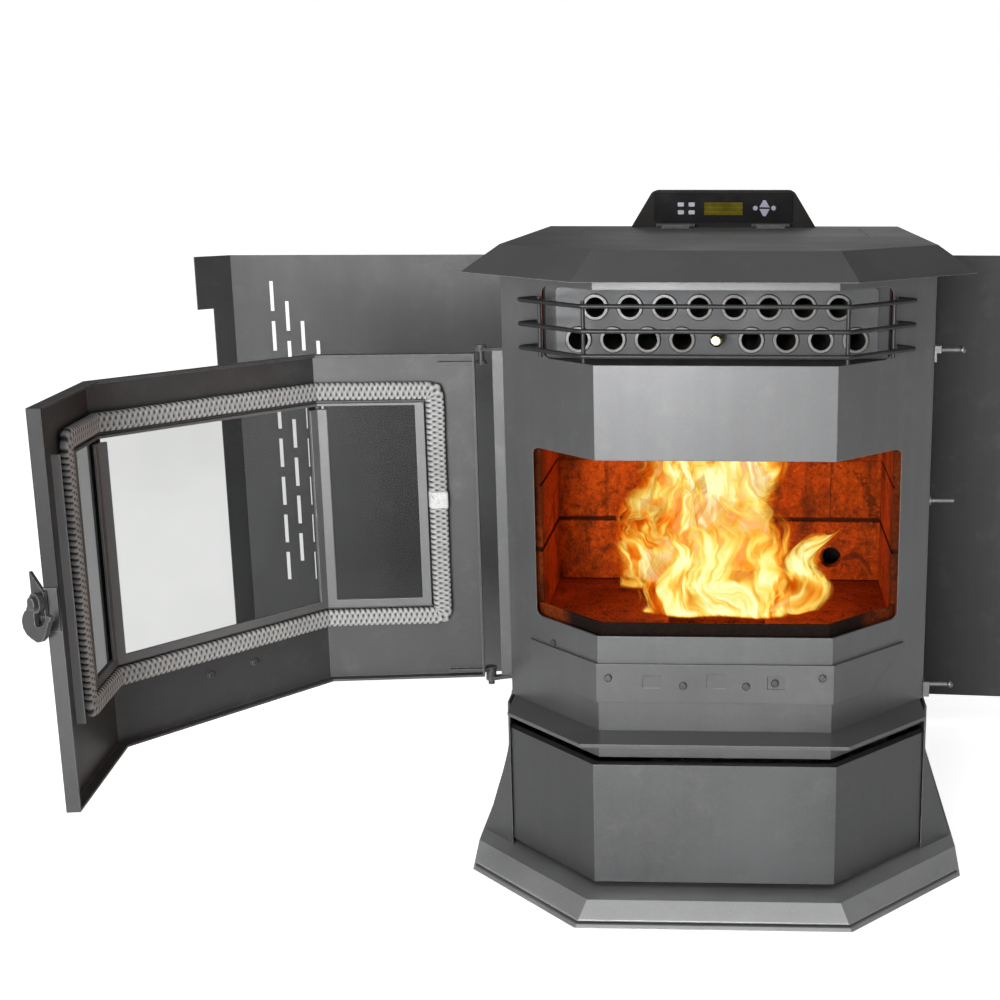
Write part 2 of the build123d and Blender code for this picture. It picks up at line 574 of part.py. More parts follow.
for nm in nav:
    if nm in ("nav_up", "nav_down"):
        pface -= xz_prism(nav_key(nm, 0.4), pod_y0 - 4, pod_y0 + 2)
    else:
        pface -= cyl(nx + nav[nm][0], pod_y0 - 4, nz, 4.1, 6, "Y")
node("pod_face", pface)
node("pod_display", block(disp[0] + 0.1, disp[1] - 0.1, pod_y0 - 1.5, pod_y0 + 1.5, disp[2] + 0.1, disp[3] - 0.1)
     + block(disp[0] - 3, disp[1] + 3, pod_y0 + 0.1, pod_y0 + 2.0, disp[2] - 3, disp[3] + 3))
node("control_board", block(-92, 92, pod_y0 + 10, pod_y0 + 11.6, 798, 835)
     + block(-30, 30, pod_y0 + 4.0, pod_y0 + 10, 804, 829) + block(40, 80, pod_y0 + 11.6, pod_y0 + 20, 803, 825)
     + block(-80, -50, pod_y0 + 11.6, pod_y0 + 17, 803, 825))
for nm, (kx, kz) in small_keys.items():
    k = yblock(kx - 4.65, kx + 4.65, pod_y0 - 3.4, pod_y0 + 1.5, kz - 3.0, kz + 3.0, 1.2)
    k = fillet(k.edges().group_by(Axis.Y)[0], 0.5)
    k += block(kx - 6.0, kx + 6.0, pod_y0 + 1.2, pod_y0 + 2.2, kz - 4.2, kz + 4.2)
    node(nm, k)
for nm in nav:
    if nm in ("nav_up", "nav_down"):
        k = xz_prism(nav_key(nm, 0.0), pod_y0 - 3.2, pod_y0 + 1.5)
        node(nm, k)
    else:
        k = cyl(nx + nav[nm][0], pod_y0 - 3.2, nz, 3.7, 5.2, "Y")
        k = fillet(k.edges().group_by(Axis.Y)[0], 0.8)
        node(nm, k)

# ---------------------------------------------------------------------------
# tube scraper: rod with a plate that rides along the tubes, brass knob
# ---------------------------------------------------------------------------
rod = cyl(0, -84, knob_z, 4.0, 200, "Y")
plate = yblock(-190, 190, 112, 116, 664, 738, 4.0)
for tx, tz in tubes_xz:
    plate -= cyl(tx, 100, tz, tube_od / 2 + 0.6, 30, "Y")
node("tube_scraper", rod + plate)
knob = cyl(0, -98, knob_z, 7.6, 14, "Y")
knob = fillet(knob.edges().group_by(Axis.Y)[0], 3.2)
knob += cyl(0, -84, knob_z, 5.2, 4, "Y") - cyl(0, -84, knob_z, 4.0, 5, "Y")
node("scraper_knob", knob)

# ---------------------------------------------------------------------------
# ash drawer
# ---------------------------------------------------------------------------
dfront = bay_strip(12.5, 15.0, drawer_z0, drawer_z1, side=261.6)
dfront += bay_strip(4.0, 15.0, drawer_z1 - 2.5, drawer_z1, side=261.6)
shelf = bay_strip(-22.0, 14.0, drawer_z0, drawer_z0 + 2.5, side=236.0)
dfront += shelf
front_keep = prism(outline(-170, 400, 261.6, -2.0), 20, 200)
dfront &= front_keep
node("ash_drawer_front", dfront)
pan = prism(outline(-112.0, 247.0, 220.0, 262.0), drawer_z0 + 2.5, 165.0)
pan -= prism(outline(-110.5, 245.0, 218.5, 260.5), drawer_z0 + 4.0, 170.0)
node("ash_drawer_pan", pan)

# ---------------------------------------------------------------------------
# fire door, drawn closed and then swung open about its hinge
# ---------------------------------------------------------------------------


def door_band(o0, o1, z0, z1, s_hinge, s_latch):
    # band that follows all three facets, its ends measured from the outer folds
    s = bay_strip(o0, o1, z0, z1, side=400.0, back=200.0)
    k = block(-145, 145, -400, -60, z0, z1)
    k += facet_block(-1, -12.0, s_hinge, o0 - 30, o1 + 30, z0, z1)
    k += facet_block(1, -12.0, s_latch, o0 - 30, o1 + 30, z0, z1)
    return s & k


frame = door_band(door_in, door_out, door_z0, door_z1, door_hinge_len, door_latch_len)
# returns along the bottom, the top and both ends
frame += door_band(door_lip, door_out, door_z0, door_z0 + 2.5, door_hinge_len, door_latch_len)
frame += door_band(door_lip, door_out, door_z1 - 2.5, door_z1, door_hinge_len, door_latch_len)
frame += facet_block(-1, door_hinge_len - 2.5, door_hinge_len, door_lip, door_out, door_z0, door_z1)
frame += facet_block(1, door_latch_len - 2.5, door_latch_len, door_lip, door_out, door_z0, door_z1)
# windows in the three facets
frame -= yblock(-134, 134, -160, -120, win_z0, win_z1, 4.0)
frame -= facet_block(-1, 8.0, 122.0, 8, 30, win_z0, win_z1)
frame -= facet_block(1, 8.0, 80.5, 8, 30, win_z0, win_z1)
# channel that seats the rope gasket
frame += door_band(8.0, 14.0, 340.0, 342.2, 133.0, 88.0) + door_band(8.0, 14.0, 599.8, 602.0, 133.0, 88.0)

for bs in (110.7, 169.8):
    # small bolts inside the lower frame of the middle facet
    bx = -(front_half + T * 14.0) + bs
    frame += cyl(bx, -bay_depth - 14.0, 298.0, 3.6, 4.4, "Y")
# upright stiffening rib between the rope and the free edge
frame += facet_block(1, 127.0, 129.0, 5.0, 13.6, 322.0, 604.0)
# hinge straps with knuckles, welded into the door
for za, zb in ((251.0, 255.0), (644.0, 648.0)):
    st = facet_block(-1, 150.0, door_hinge_len - 1.0, 7.5, 13.6, za, zb)
    st += prism([facet_point(-1, door_hinge_len - 2.0, 3.0), facet_point(-1, door_hinge_len - 2.0, 13.4),
                 facet_point(-1, door_hinge_len + 4.0, 21.0), facet_point(-1, door_hinge_len + 9.0, 11.0)], za, zb)
    st += cyl(hinge_x, hinge_y, za, 7.0, zb - za)
    frame += st
# hinge pins that turn in the brackets of the post
frame += cyl(hinge_x, hinge_y, 647.5, 4.0, 18.0) + cyl(hinge_x, hinge_y, 664.6, 6.5, 3.4)
frame += cyl(hinge_x, hinge_y, 232.0, 4.0, 20.0) + cyl(hinge_x, hinge_y, 241.6, 6.5, 10.0)

retainer = door_band(5.0, 8.6, 342.6, 599.4, 131.8, 87.1) - door_band(4.0, 10.0, 352.0, 596.5, 121.0, 78.0)
for sx in (-1, 1):
    retainer += bay_strip(5.0, 8.6, 350, 592, side=400.0, back=200.0) & block(*sorted((sx * 131.0, sx * 149.0)), -150, -100, 350, 592)

pane_c = block(-139.0, 139.0, -bay_depth - 13.2, -bay_depth - 8.9, 343.0, 599.0)
pane_h = facet_block(-1, 5.0, 129.0, 8.9, 13.2, 343.0, 599.0)
pane_l = facet_block(1, 5.0, 85.5, 8.9, 13.2, 343.0, 599.0)

rope = door_band(1.0, 13.3, 317.0, 625.0, 156.0, 111.0) - door_band(-1.0, 15.0, 339.4, 602.6, 134.0, 89.0)

# latch on the door's free edge: bracket with its stud, hooked handle
lat_x, lat_y, lat_z = 280.4, -12.3, 469.0
bracket = yz_prism([(-31.4, 441), (-6.9, 436), (-6.9, 479), (-31.4, 496)], lat_x - 8.3, lat_x - 4.8)
bracket += facet_block(1, door_latch_len + 0.3, door_latch_len + 2.8, 3.0, 18.0, 438, 482)
bracket += cyl(lat_x - 6.3, lat_y, lat_z, 4.0, 12.0, "X") + cyl(lat_x - 5.3, lat_y, lat_z, 7.0, 2.7, "X") + cyl(lat_x + 2.7, lat_y, lat_z, 6.5, 3.4, "X")
for bz in (453.0, 443.0):
    bracket += cyl(lat_x - 5.3, lat_y - 1.0, bz, 3.0, 2.4, "X")
pin_path_r = 23.6
hook = [(-10.0, 2.0), (-17.0, -8.0), (-26.5, -17.5), (-29.5, -24.0), (-28.0, -31.0), (-22.0, -36.5), (-12.0, -39.0),
        (-2.0, -40.5), (5.0, -38.5), (11.5, -34.0), (17.0, -27.0), (21.5, -19.5), (24.2, -14.5), (28.6, -12.6), (28.4, -8.6), (22.0, -8.4), (0, 0), (-2, 6)]
handle2d = polygon(hook) - Circle(pin_path_r) + (polygon([(-10.0, 2.0), (-17.0, -8.0), (-23.0, -22.0), (-3.0, -30.0), (-3.0, -10.0), (0.0, 0.0), (0, 6), (-6, 6)])) + Circle(10.0)
handle2d -= Circle(4.06)
handle = Plane(origin=(lat_x - 2.3, lat_y, lat_z), x_dir=(0, 1, 0), z_dir=(1, 0, 0)) * extrude(handle2d, amount=4.6, dir=(0, 0, 1))

swing = Axis((hinge_x, hinge_y, 0), (0, 0, 1))


def open_door(shape):
    return shape.rotate(swing, -door_open)


node("door_frame", open_door(frame))
node("door_glass_centre", open_door(pane_c))
node("door_glass_hinge_side", open_door(pane_h))
node("door_glass_latch_side", open_door(pane_l))
node("glass_retainer", open_door(retainer))
node("door_gasket", open_door(rope))
node("latch_bracket", open_door(bracket))
node("latch_handle", open_door(handle))

# post on the body side with the two hinge brackets
post = block(-277, -262, 12.0, 15.0, 236, 664) + block(-265, -262.0, 12.0, 40.0, 236, 664)
for za, zb in ((237.4, 241.2), (660.2, 664.0)):
    post += prism([(-262.0, 9), (-262.0, 15), (-277, 15), (-282, 12.5), (hinge_x, hinge_y + 7), (hinge_x - 5, hinge_y + 4.9), (hinge_x - 7, hinge_y), (hinge_x - 5, hinge_y - 4.9), (hinge_x, hinge_y - 7), (-276, 4)], za, zb)
    post -= cyl(hinge_x, hinge_y, za - 1, 4.06, 6)
node("hinge_post", post)

# pins on the right side: latch catch pin and the two studs above and below the door
pins = []
pins.append(cyl(262, 6, 476.0, 2.5, 31, "X") + cyl(262, 6, 476.0, 6, 2.5, "X"))
for z in (663.0, 235.7):
    st = block(262, 265, -1, 17, z - 14, z + 5.5) + block(262, 270, -1, 2, max(z - 14, 659.8) if z > 600 else z - 14, z + 5.5) + cyl(262, 8, z, 2.8, 34, "X")
    hd = Pos(297, 8, z) * Sphere(4.6)
    pins.append(st + hd)
node("side_catch_pins", group(pins))

# ---------------------------------------------------------------------------
# side panels, drawn closed and then swung open about their rear pins
# ---------------------------------------------------------------------------


def side_panel(sx):
    t = panel_t
    h = t / 2
    y_rear = 466.0
    z0 = left_panel_z0 if sx < 0 else panel_z0
    flat = block(*sorted((sx * (panel_x - h), sx * (panel_x + h))), panel_fold_y, y_rear, z0, panel_z1)

    def flange(w, z0, z1):
        a = (panel_x + h, panel_fold_y)
        b = (panel_x - h, panel_fold_y)
        u = 1 / R2
        c = (b[0] - w * u, b[1] - w * u)
        d = (c[0] + t * u, c[1] - t * u)
        a2 = (panel_x + h, panel_fold_y - T * t)
        pts = [(sx * p[0], p[1]) for p in (b, c, d, a2, a)]
        return prism(pts, z0, z1)

    # the front flange starts above the flare of the pedestal
    p = flat + flange(33.0, 108.0, 669.0) + flange(59.0, 669.0, panel_z1)
    # rows of upright cooling slots near the free edge
    for col in range(4):
        yc = panel_fold_y + 58.0 + 21.8 * col
        ztop = 708.0 - 30.25 * col
        n = 8 - (col + 1) // 2
        for k in range(n):
            z1 = ztop - 60.5 * k
            p -= block(*sorted((sx * (panel_x - 5), sx * (panel_x + 5))), yc - 2.8, yc + 2.8, z1 - 45.0, z1)
    if sx > 0:
        p -= prism([(262, -10), (302, 36.6), (302, 37.8), (290, 60), (250, 60)], 400.0, 552.0)
    for za, zb in panel_pin_z:
        # hinge barrel between the rear ears
        br = cyl(sx * panel_x, panel_axis_y, za + 0.4, 5.0, zb - za - 0.8)
        br += block(*sorted((sx * (panel_x - h), sx * (panel_x + h))), y_rear - 1, panel_axis_y - 3, za + 0.4, zb - 0.4)
        br -= cyl(sx * panel_x, panel_axis_y, za - 5, 2.56, zb - za + 10)
        p += br
    return p


left_axis = Axis((-panel_x, panel_axis_y, 0), (0, 0, 1))
right_axis = Axis((panel_x, panel_axis_y, 0), (0, 0, 1))
node("side_panel_left", side_panel(-1).rotate(left_axis, -panel_open))
node("side_panel_right", side_panel(1).rotate(right_axis, panel_open))

# ---------------------------------------------------------------------------
# write one file per node
# ---------------------------------------------------------------------------
for name, shape in SOLIDS.items():
    moved = Pos(0, bay_y, 0) * shape
    n = len(moved.solids())
    export_step(moved, f"parts/{name}.step")
    bb = moved.bounding_box()
    print(f"{name:24s} solids {n:2d} vol {moved.volume/1000:9.1f} cm3 x {bb.min.X:7.1f} {bb.max.X:7.1f} y {bb.min.Y:7.1f} {bb.max.Y:7.1f} z {bb.min.Z:6.1f} {bb.max.Z:6.1f}")
print("nodes", len(SOLIDS))
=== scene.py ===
import json
import math

import bpy
import numpy as np
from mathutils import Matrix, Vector

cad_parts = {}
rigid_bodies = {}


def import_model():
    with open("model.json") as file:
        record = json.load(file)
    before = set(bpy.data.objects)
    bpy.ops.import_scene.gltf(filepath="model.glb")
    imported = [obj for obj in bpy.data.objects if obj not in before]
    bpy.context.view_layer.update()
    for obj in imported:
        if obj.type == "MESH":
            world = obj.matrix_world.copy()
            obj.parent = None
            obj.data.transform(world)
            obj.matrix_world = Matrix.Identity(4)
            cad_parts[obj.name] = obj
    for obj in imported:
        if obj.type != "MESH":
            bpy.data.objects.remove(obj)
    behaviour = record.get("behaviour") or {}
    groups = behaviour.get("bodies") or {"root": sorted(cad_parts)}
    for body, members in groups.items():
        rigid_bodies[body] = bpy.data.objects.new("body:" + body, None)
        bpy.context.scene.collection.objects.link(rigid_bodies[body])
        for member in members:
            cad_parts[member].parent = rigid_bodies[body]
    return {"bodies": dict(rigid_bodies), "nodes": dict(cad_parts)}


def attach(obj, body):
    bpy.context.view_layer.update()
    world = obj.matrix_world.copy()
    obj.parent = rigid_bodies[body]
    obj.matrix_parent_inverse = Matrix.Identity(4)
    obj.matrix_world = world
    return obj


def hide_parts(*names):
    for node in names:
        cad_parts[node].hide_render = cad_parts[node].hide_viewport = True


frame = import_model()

keep = set(frame["nodes"].values()) | set(frame["bodies"].values())
for o in list(bpy.data.objects):
    if o not in keep:
        bpy.data.objects.remove(o, do_unlink=True)
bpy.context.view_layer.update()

NODES = frame["nodes"]
BAY_Y = -0.137
DOOR_OPEN = math.radians(-128.0)
HINGE = (-0.289, 0.004)
T = math.tan(math.radians(22.5))
R2 = math.sqrt(2.0)


# ---------------------------------------------------------------------------
# material building
# ---------------------------------------------------------------------------
class Mat:
    def __init__(self, name):
        self.m = bpy.data.materials.new(name)
        self.m.use_nodes = True
        self.t = self.m.node_tree
        self.t.nodes.clear()
        self.out = self.new("ShaderNodeOutputMaterial")
        self.tc = None

    def new(self, kind, **props):
        n = self.t.nodes.new(kind)
        for k, v in props.items():
            setattr(n, k, v)
        return n

    def put(self, socket, value):
        if isinstance(value, bpy.types.NodeSocket):
            self.t.links.new(value, socket)
        elif isinstance(value, (tuple, list)):
            v = list(value)
            if len(v) == 3 and len(socket.default_value) == 4:
                v.append(1.0)
            socket.default_value = v
        else:
            socket.default_value = value

    def coord(self, stretch=(1.0, 1.0, 1.0), shift=(0.0, 0.0, 0.0)):
        if self.tc is None:
            self.tc = self.new("ShaderNodeTexCoord")
        mp = self.new("ShaderNodeMapping")
        self.t.links.new(self.tc.outputs["Object"], mp.inputs["Vector"])
        mp.inputs["Scale"].default_value = stretch
        mp.inputs["Location"].default_value = shift
        return mp.outputs["Vector"]

    def noise(self, scale, detail=4.0, rough=0.55, stretch=(1.0, 1.0, 1.0), shift=(0.0, 0.0, 0.0), distortion=0.0, vector=None):
        n = self.new("ShaderNodeTexNoise")
        self.put(n.inputs["Vector"], self.coord(stretch, shift) if vector is None else vector)
        n.inputs["Scale"].default_value = scale
        n.inputs["Detail"].default_value = detail
        n.inputs["Roughness"].default_value = rough
        n.inputs["Distortion"].default_value = distortion
        return n.outputs["Fac"]

    def voronoi(self, scale, feature="F1", out="Distance", stretch=(1.0, 1.0, 1.0), randomness=1.0):
        n = self.new("ShaderNodeTexVoronoi", feature=feature)
        self.put(n.inputs["Vector"], self.coord(stretch))
        n.inputs["Scale"].default_value = scale
        n.inputs["Randomness"].default_value = randomness
        return n.outputs[out]

    def math(self, op, a, b=None, c=None, clamp=False):
        n = self.new("ShaderNodeMath", operation=op)
        n.use_clamp = clamp
        self.put(n.inputs[0], a)
        if b is not None:
            self.put(n.inputs[1], b)
        if c is not None:
            self.put(n.inputs[2], c)
        return n.outputs[0]

    def span(self, value, lo, hi, to0=0.0, to1=1.0):
        n = self.new("ShaderNodeMapRange")
        n.clamp = True
        n.interpolation_type = "SMOOTHSTEP"
        self.put(n.inputs["Value"], value)
        n.inputs["From Min"].default_value = lo
        n.inputs["From Max"].default_value = hi
        n.inputs["To Min"].default_value = to0
        n.inputs["To Max"].default_value = to1
        return n.outputs["Result"]

    def mix(self, fac, a, b, blend="MIX"):
        n = self.new("ShaderNodeMix", data_type="RGBA")
        n.blend_type = blend
        n.clamp_factor = True
        self.put(n.inputs["Factor"], fac)
        ins = [s for s in n.inputs if s.type == "RGBA"]
        self.put(ins[0], a)
        self.put(ins[1], b)
        return [s for s in n.outputs if s.type == "RGBA"][0]

    def ramp(self, fac, stops):
        n = self.new("ShaderNodeValToRGB")
        e = n.color_ramp.elements
        while len(e) < len(stops):
            e.new(0.5)
        for i, (p, c) in enumerate(stops):
            e[i].position = p
            e[i].color = (*c, 1.0) if len(c) == 3 else c
        self.put(n.inputs["Fac"], fac)
        return n.outputs["Color"]

    def bump(self, height, strength, distance, normal=None):
        n = self.new("ShaderNodeBump")
        n.inputs["Strength"].default_value = strength
        n.inputs["Distance"].default_value = distance
        self.put(n.inputs["Height"], height)
        if normal is not None:
            self.put(n.inputs["Normal"], normal)
        return n.outputs["Normal"]

    def round_edge(self, radius):
        n = self.new("ShaderNodeBevel", samples=4)
        n.inputs["Radius"].default_value = radius
        return n.outputs["Normal"]

    def edge_mask(self, radius):
        # 1 on sharp edges, 0 on flats
        g = self.new("ShaderNodeNewGeometry")
        d = self.new("ShaderNodeVectorMath", operation="DOT_PRODUCT")
        self.put(d.inputs[0], self.round_edge(radius))
        self.put(d.inputs[1], g.outputs["True Normal"])
        return self.span(self.math("SUBTRACT", 1.0, d.outputs["Value"]), 0.02, 0.16)

    def principled(self, color, rough, metallic=0.0, normal=None, **more):
        n = self.new("ShaderNodeBsdfPrincipled")
        self.put(n.inputs["Base Color"], color)
        self.put(n.inputs["Roughness"], rough)
        n.inputs["Metallic"].default_value = metallic
        if normal is not None:
            self.put(n.inputs["Normal"], normal)
        for k, v in more.items():
            self.put(n.inputs[k.replace("_", " ")], v)
        return n.outputs["BSDF"]

    def surface(self, shader):
        self.t.links.new(shader, self.out.inputs["Surface"])
        return self.m


def paint(name, color, rough=0.5, mottle=0.12, dust=0.1, edge=0.55, edge_r=0.0012, grain=0.05, streak=0.0, seed=0.0, spec=0.4, metal=0.3, local=None):
    """Satin stove paint on sheet steel: fine orange peel, cloudy tone, hand-wiped roughness, edges lightened as rubbed
    wear and painted highlight.
    """
    k = Mat(name)
    clouds = k.noise(5.0, 5.0, 0.6, shift=(seed, seed * 0.7, 0.0))
    fine = k.noise(420.0, 3.0, 0.6)
    peel = k.noise(1500.0, 2.0, 0.5)
    base = k.mix(k.span(clouds, 0.3, 0.72), [c * (1 - mottle) for c in color], [c * (1 + mottle) for c in color])
    base = k.mix(k.span(fine, 0.45, 0.75, 0.0, 0.22), base, [min(1, c * 1.5 + 0.01) for c in color])
    if streak:
        lines = k.noise(60.0, 4.0, 0.6, stretch=(1.0, 1.0, 0.03))
        base = k.mix(k.span(lines, 0.35, 0.75, 0.0, streak), base, [c * 1.5 for c in color])
    settled = k.noise(28.0, 6.0, 0.7, shift=(0.3, seed, 0.2))
    base = k.mix(k.span(settled, 0.5, 0.8, 0.0, dust), base, (0.32, 0.31, 0.29))
    # edges lightened in patches: rubbed wear and painted highlight along the bevel
    edge_wear_and_highlight = k.math("MULTIPLY", k.edge_mask(edge_r), k.span(k.noise(90.0, 4.0, 0.7), 0.3, 0.6, 0.35, 1.0))
    base = k.mix(k.math("MULTIPLY", edge_wear_and_highlight, edge), base, (0.42, 0.42, 0.425))
    if local is not None:
        base = local(k, base)
    r = k.math("ADD", k.span(clouds, 0.25, 0.8, rough - 0.07, rough + 0.08), k.span(fine, 0.3, 0.8, -0.04, 0.05))
    nrm = k.bump(peel, grain, 0.0006, k.bump(fine, grain * 0.8, 0.001, k.round_edge(edge_r)))
    return k.surface(k.principled(base, r, metal, nrm, Specular_IOR_Level=spec))


def steel(name, color, rough=0.38, brushed=(1.0, 1.0, 1.0), tint=None, spangle=0.0, grime=0.25, edge_r=0.0006):
    k = Mat(name)
    hair = k.noise(380.0, 4.0, 0.7, stretch=brushed)
    clouds = k.noise(9.0, 5.0, 0.6)
    base = k.mix(k.span(hair, 0.3, 0.75), [c * 0.82 for c in color], [min(1, c * 1.14) for c in color])
    if spangle:
        cell = k.voronoi(70.0, out="Color")
        sep = k.new("ShaderNodeSeparateColor")
        k.put(sep.inputs[0], cell)
        base = k.mix(k.span(sep.outputs[0], 0.2, 0.9, 0.0, spangle), base, [c * 0.62 for c in color])
    if tint is not None:
        base = k.mix(k.span(clouds, 0.35, 0.7, 0.0, 0.75), base, tint)
    base = k.mix(k.span(k.noise(45.0, 6.0, 0.75), 0.52, 0.8, 0.0, grime), base, (0.06, 0.05, 0.045))
    r = k.math("ADD", k.span(hair, 0.25, 0.8, rough - 0.08, rough + 0.1), k.span(clouds, 0.3, 0.8, 0.0, 0.1))
    nrm = k.bump(hair, 0.12, 0.0005, k.round_edge(edge_r))
    return k.surface(k.principled(base, r, 1.0, nrm))


def plastic(name, color, rough=0.42, grain=0.25, edge=0.25, fine_scale=1400.0, dust=0.1, spec=0.3):
    k = Mat(name)
    n1 = k.noise(fine_scale, 2.0, 0.5)
    n2 = k.noise(30.0, 5.0, 0.65)
    base = k.mix(k.span(n2, 0.3, 0.75), [c * 0.88 for c in color], [min(1, c * 1.14 + 0.002) for c in color])
    # edges lightened by the edge mask: painted highlight
    base = k.mix(k.math("MULTIPLY", k.edge_mask(0.0008), edge), base, [min(1, c * 2.2 + 0.03) for c in color])
    base = k.mix(k.span(k.noise(160.0, 5.0, 0.7), 0.62, 0.8, 0.0, dust), base, (0.3, 0.29, 0.27))
    nrm = k.bump(n1, grain, 0.0004, k.round_edge(0.0008))
    return k.surface(k.principled(base, k.span(n2, 0.2, 0.8, rough - 0.08, rough + 0.1), 0.0, nrm, Specular_IOR_Level=spec))


def along(k, origin, axis):
    """Distance in metres from origin along axis, in object coordinates."""
    d = k.new("ShaderNodeVectorMath", operation="DOT_PRODUCT")
    k.put(d.inputs[0], k.coord())
    d.inputs[1].default_value = tuple(axis)
    return k.math("SUBTRACT", d.outputs["Value"], float(Vector(origin).dot(Vector(axis))))


def latch_facet_point(s, o):
    """A point of the door's latch-side facet (s along it, o off the bay, mm), with the door open."""
    d = s - T * 16.0
    x, y = (139.0 + (d + o) / R2) / 1000 - HINGE[0], (-123.0 + (d - o) / R2) / 1000 - HINGE[1]
    ca, sa = math.cos(DOOR_OPEN), math.sin(DOOR_OPEN)
    return Vector((HINGE[0] + ca * x - sa * y, HINGE[1] + sa * x + ca * y + BAY_Y, 0.0))


def door_highlight_and_shade(k, base):
    """Painted highlight on the rib strip beside the rope on the latch facet, painted shade (near black) on the flange
    above the latch.
    """
    p0 = latch_facet_point(0.0, 0.0)
    s = along(k, p0, (latch_facet_point(100.0, 0.0) - p0).normalized())
    o = along(k, p0, (latch_facet_point(0.0, 100.0) - p0).normalized())
    z = along(k, (0.0, 0.0, 0.0), (0.0, 0.0, 1.0))
    # the rib strip beside the rope is lightened: painted highlight
    painted_highlight_strip = k.math("MULTIPLY", k.span(s, 0.1262, 0.1266), k.span(s, 0.1294, 0.1298, 1.0, 0.0))
    painted_highlight_strip = k.math("MULTIPLY", painted_highlight_strip, k.math("MULTIPLY", k.span(z, 0.3205, 0.3215), k.span(z, 0.6045, 0.6055, 1.0, 0.0)))
    painted_highlight_strip = k.math("MULTIPLY", painted_highlight_strip, k.span(o, 0.0132, 0.0134, 0.85, 0.0))
    base = k.mix(painted_highlight_strip, base, (0.42, 0.42, 0.42))
    # the flange above the latch is darkened almost black: painted shade
    darkening = k.math("MULTIPLY", k.span(s, 0.1738, 0.1748), k.span(z, 0.44, 0.475, 0.0, 0.92))
    return k.mix(darkening, base, (0.005, 0.005, 0.005))


body_paint = paint("stove_paint_body", (0.085, 0.086, 0.088), rough=0.46, mottle=0.09, streak=0.05)
facet_paint = paint("stove_paint_front", (0.118, 0.119, 0.121), rough=0.42, mottle=0.09, streak=0.12, seed=0.4, metal=0.45)
band_paint = paint("stove_paint_band", (0.108, 0.109, 0.111), rough=0.42, mottle=0.09, streak=0.1, seed=0.6, metal=0.4)
lid_paint = paint("stove_paint_lid", (0.06, 0.06, 0.061), rough=0.56, mottle=0.12, dust=0.06, seed=0.9, spec=0.25, metal=0.1, edge=0.75)
ledge_paint = paint("stove_paint_ledge", (0.11, 0.111, 0.113), rough=0.46, mottle=0.1, seed=1.2, edge=0.7)
plinth_paint = paint("stove_paint_plinth", (0.365, 0.367, 0.371), rough=0.46, mottle=0.12, dust=0.15, seed=1.7, edge=0.4, metal=0.65)
drawer_paint = paint("stove_paint_drawer", (0.115, 0.116, 0.118), rough=0.47, mottle=0.09, streak=0.1, seed=2.3, metal=0.85, edge=0.7)
# right side panel: a darker copy of the side panel paint, painted shade
right_panel_shaded_paint = paint("stove_paint_right_panel_shaded", (0.046, 0.046, 0.047), rough=0.55, mottle=0.14, dust=0.08, streak=0.2, seed=3.6, edge=0.45, spec=0.3)
panel_paint = paint("stove_paint_panels", (0.064, 0.064, 0.066), rough=0.52, mottle=0.14, dust=0.08, streak=0.2, seed=3.1, edge=0.45)
door_paint = paint("stove_paint_door", (0.058, 0.058, 0.059), rough=0.47, mottle=0.12, dust=0.1, streak=0.06, seed=4.2, edge=0.75, local=door_highlight_and_shade)
latch_paint = paint("stove_paint_latch", (0.04, 0.04, 0.041), rough=0.42, mottle=0.12, dust=0.08, seed=4.6, edge=0.8)
trim_paint = paint("stove_paint_trim", (0.17, 0.171, 0.174), rough=0.4, mottle=0.08, seed=5.0)
post_paint = paint("hinge_post_paint", (0.09, 0.091, 0.093), rough=0.46, mottle=0.1, seed=5.4, edge=0.8)
retainer_paint = paint("glass_retainer_paint", (0.13, 0.131, 0.133), rough=0.42, mottle=0.1, seed=5.2, edge=0.9)
plate_paint = paint("outlet_plate_paint", (0.055, 0.056, 0.058), rough=0.45, mottle=0.1, seed=5.3, edge=0.9, metal=0.35)
guard_paint = paint("guard_bar_paint", (0.03, 0.03, 0.031), rough=0.38, mottle=0.1, seed=5.6, edge=0.3)
dark_paint = paint("stove_paint_back", (0.04, 0.04, 0.041), rough=0.55, mottle=0.14, dust=0.14, seed=6.0, edge=0.35)

zinc = steel("zinc_plated_steel", (0.2, 0.2, 0.198), rough=0.45, grime=0.45)
bolt_black = paint("blackened_bolts", (0.08, 0.08, 0.081), rough=0.34, mottle=0.14, seed=8.0, edge=0.9, edge_r=0.001, metal=0.7)
galvanised = steel("galvanised_sheet", (0.52, 0.53, 0.54), rough=0.45, spangle=0.8, grime=0.3)
tube_metal = steel("heat_tinted_tube", (0.17, 0.168, 0.166), rough=0.45, brushed=(1.0, 0.05, 1.0), tint=(0.12, 0.11, 0.103), grime=0.35)
shaft_metal = steel("machined_steel", (0.5, 0.5, 0.5), rough=0.3, brushed=(0.1, 1.0, 1.0), grime=0.2)
sooty_metal = steel("sooty_steel", (0.05, 0.045, 0.04), rough=0.6, grime=0.6)
motor_metal = paint("motor_enamel", (0.03, 0.03, 0.032), rough=0.35, mottle=0.1, seed=7.0)

k = Mat("brass_knob")
hair = k.noise(500.0, 3.0, 0.6)
spots = k.noise(120.0, 5.0, 0.7)
c = k.mix(k.span(spots, 0.45, 0.75), (0.5, 0.46, 0.28), (0.3, 0.25, 0.12))
c = k.mix(k.span(hair, 0.55, 0.8, 0.0, 0.3), c, (0.7, 0.68, 0.55))
brass = k.surface(k.principled(c, k.span(spots, 0.3, 0.8, 0.16, 0.34), 1.0, k.bump(hair, 0.08, 0.0004)))

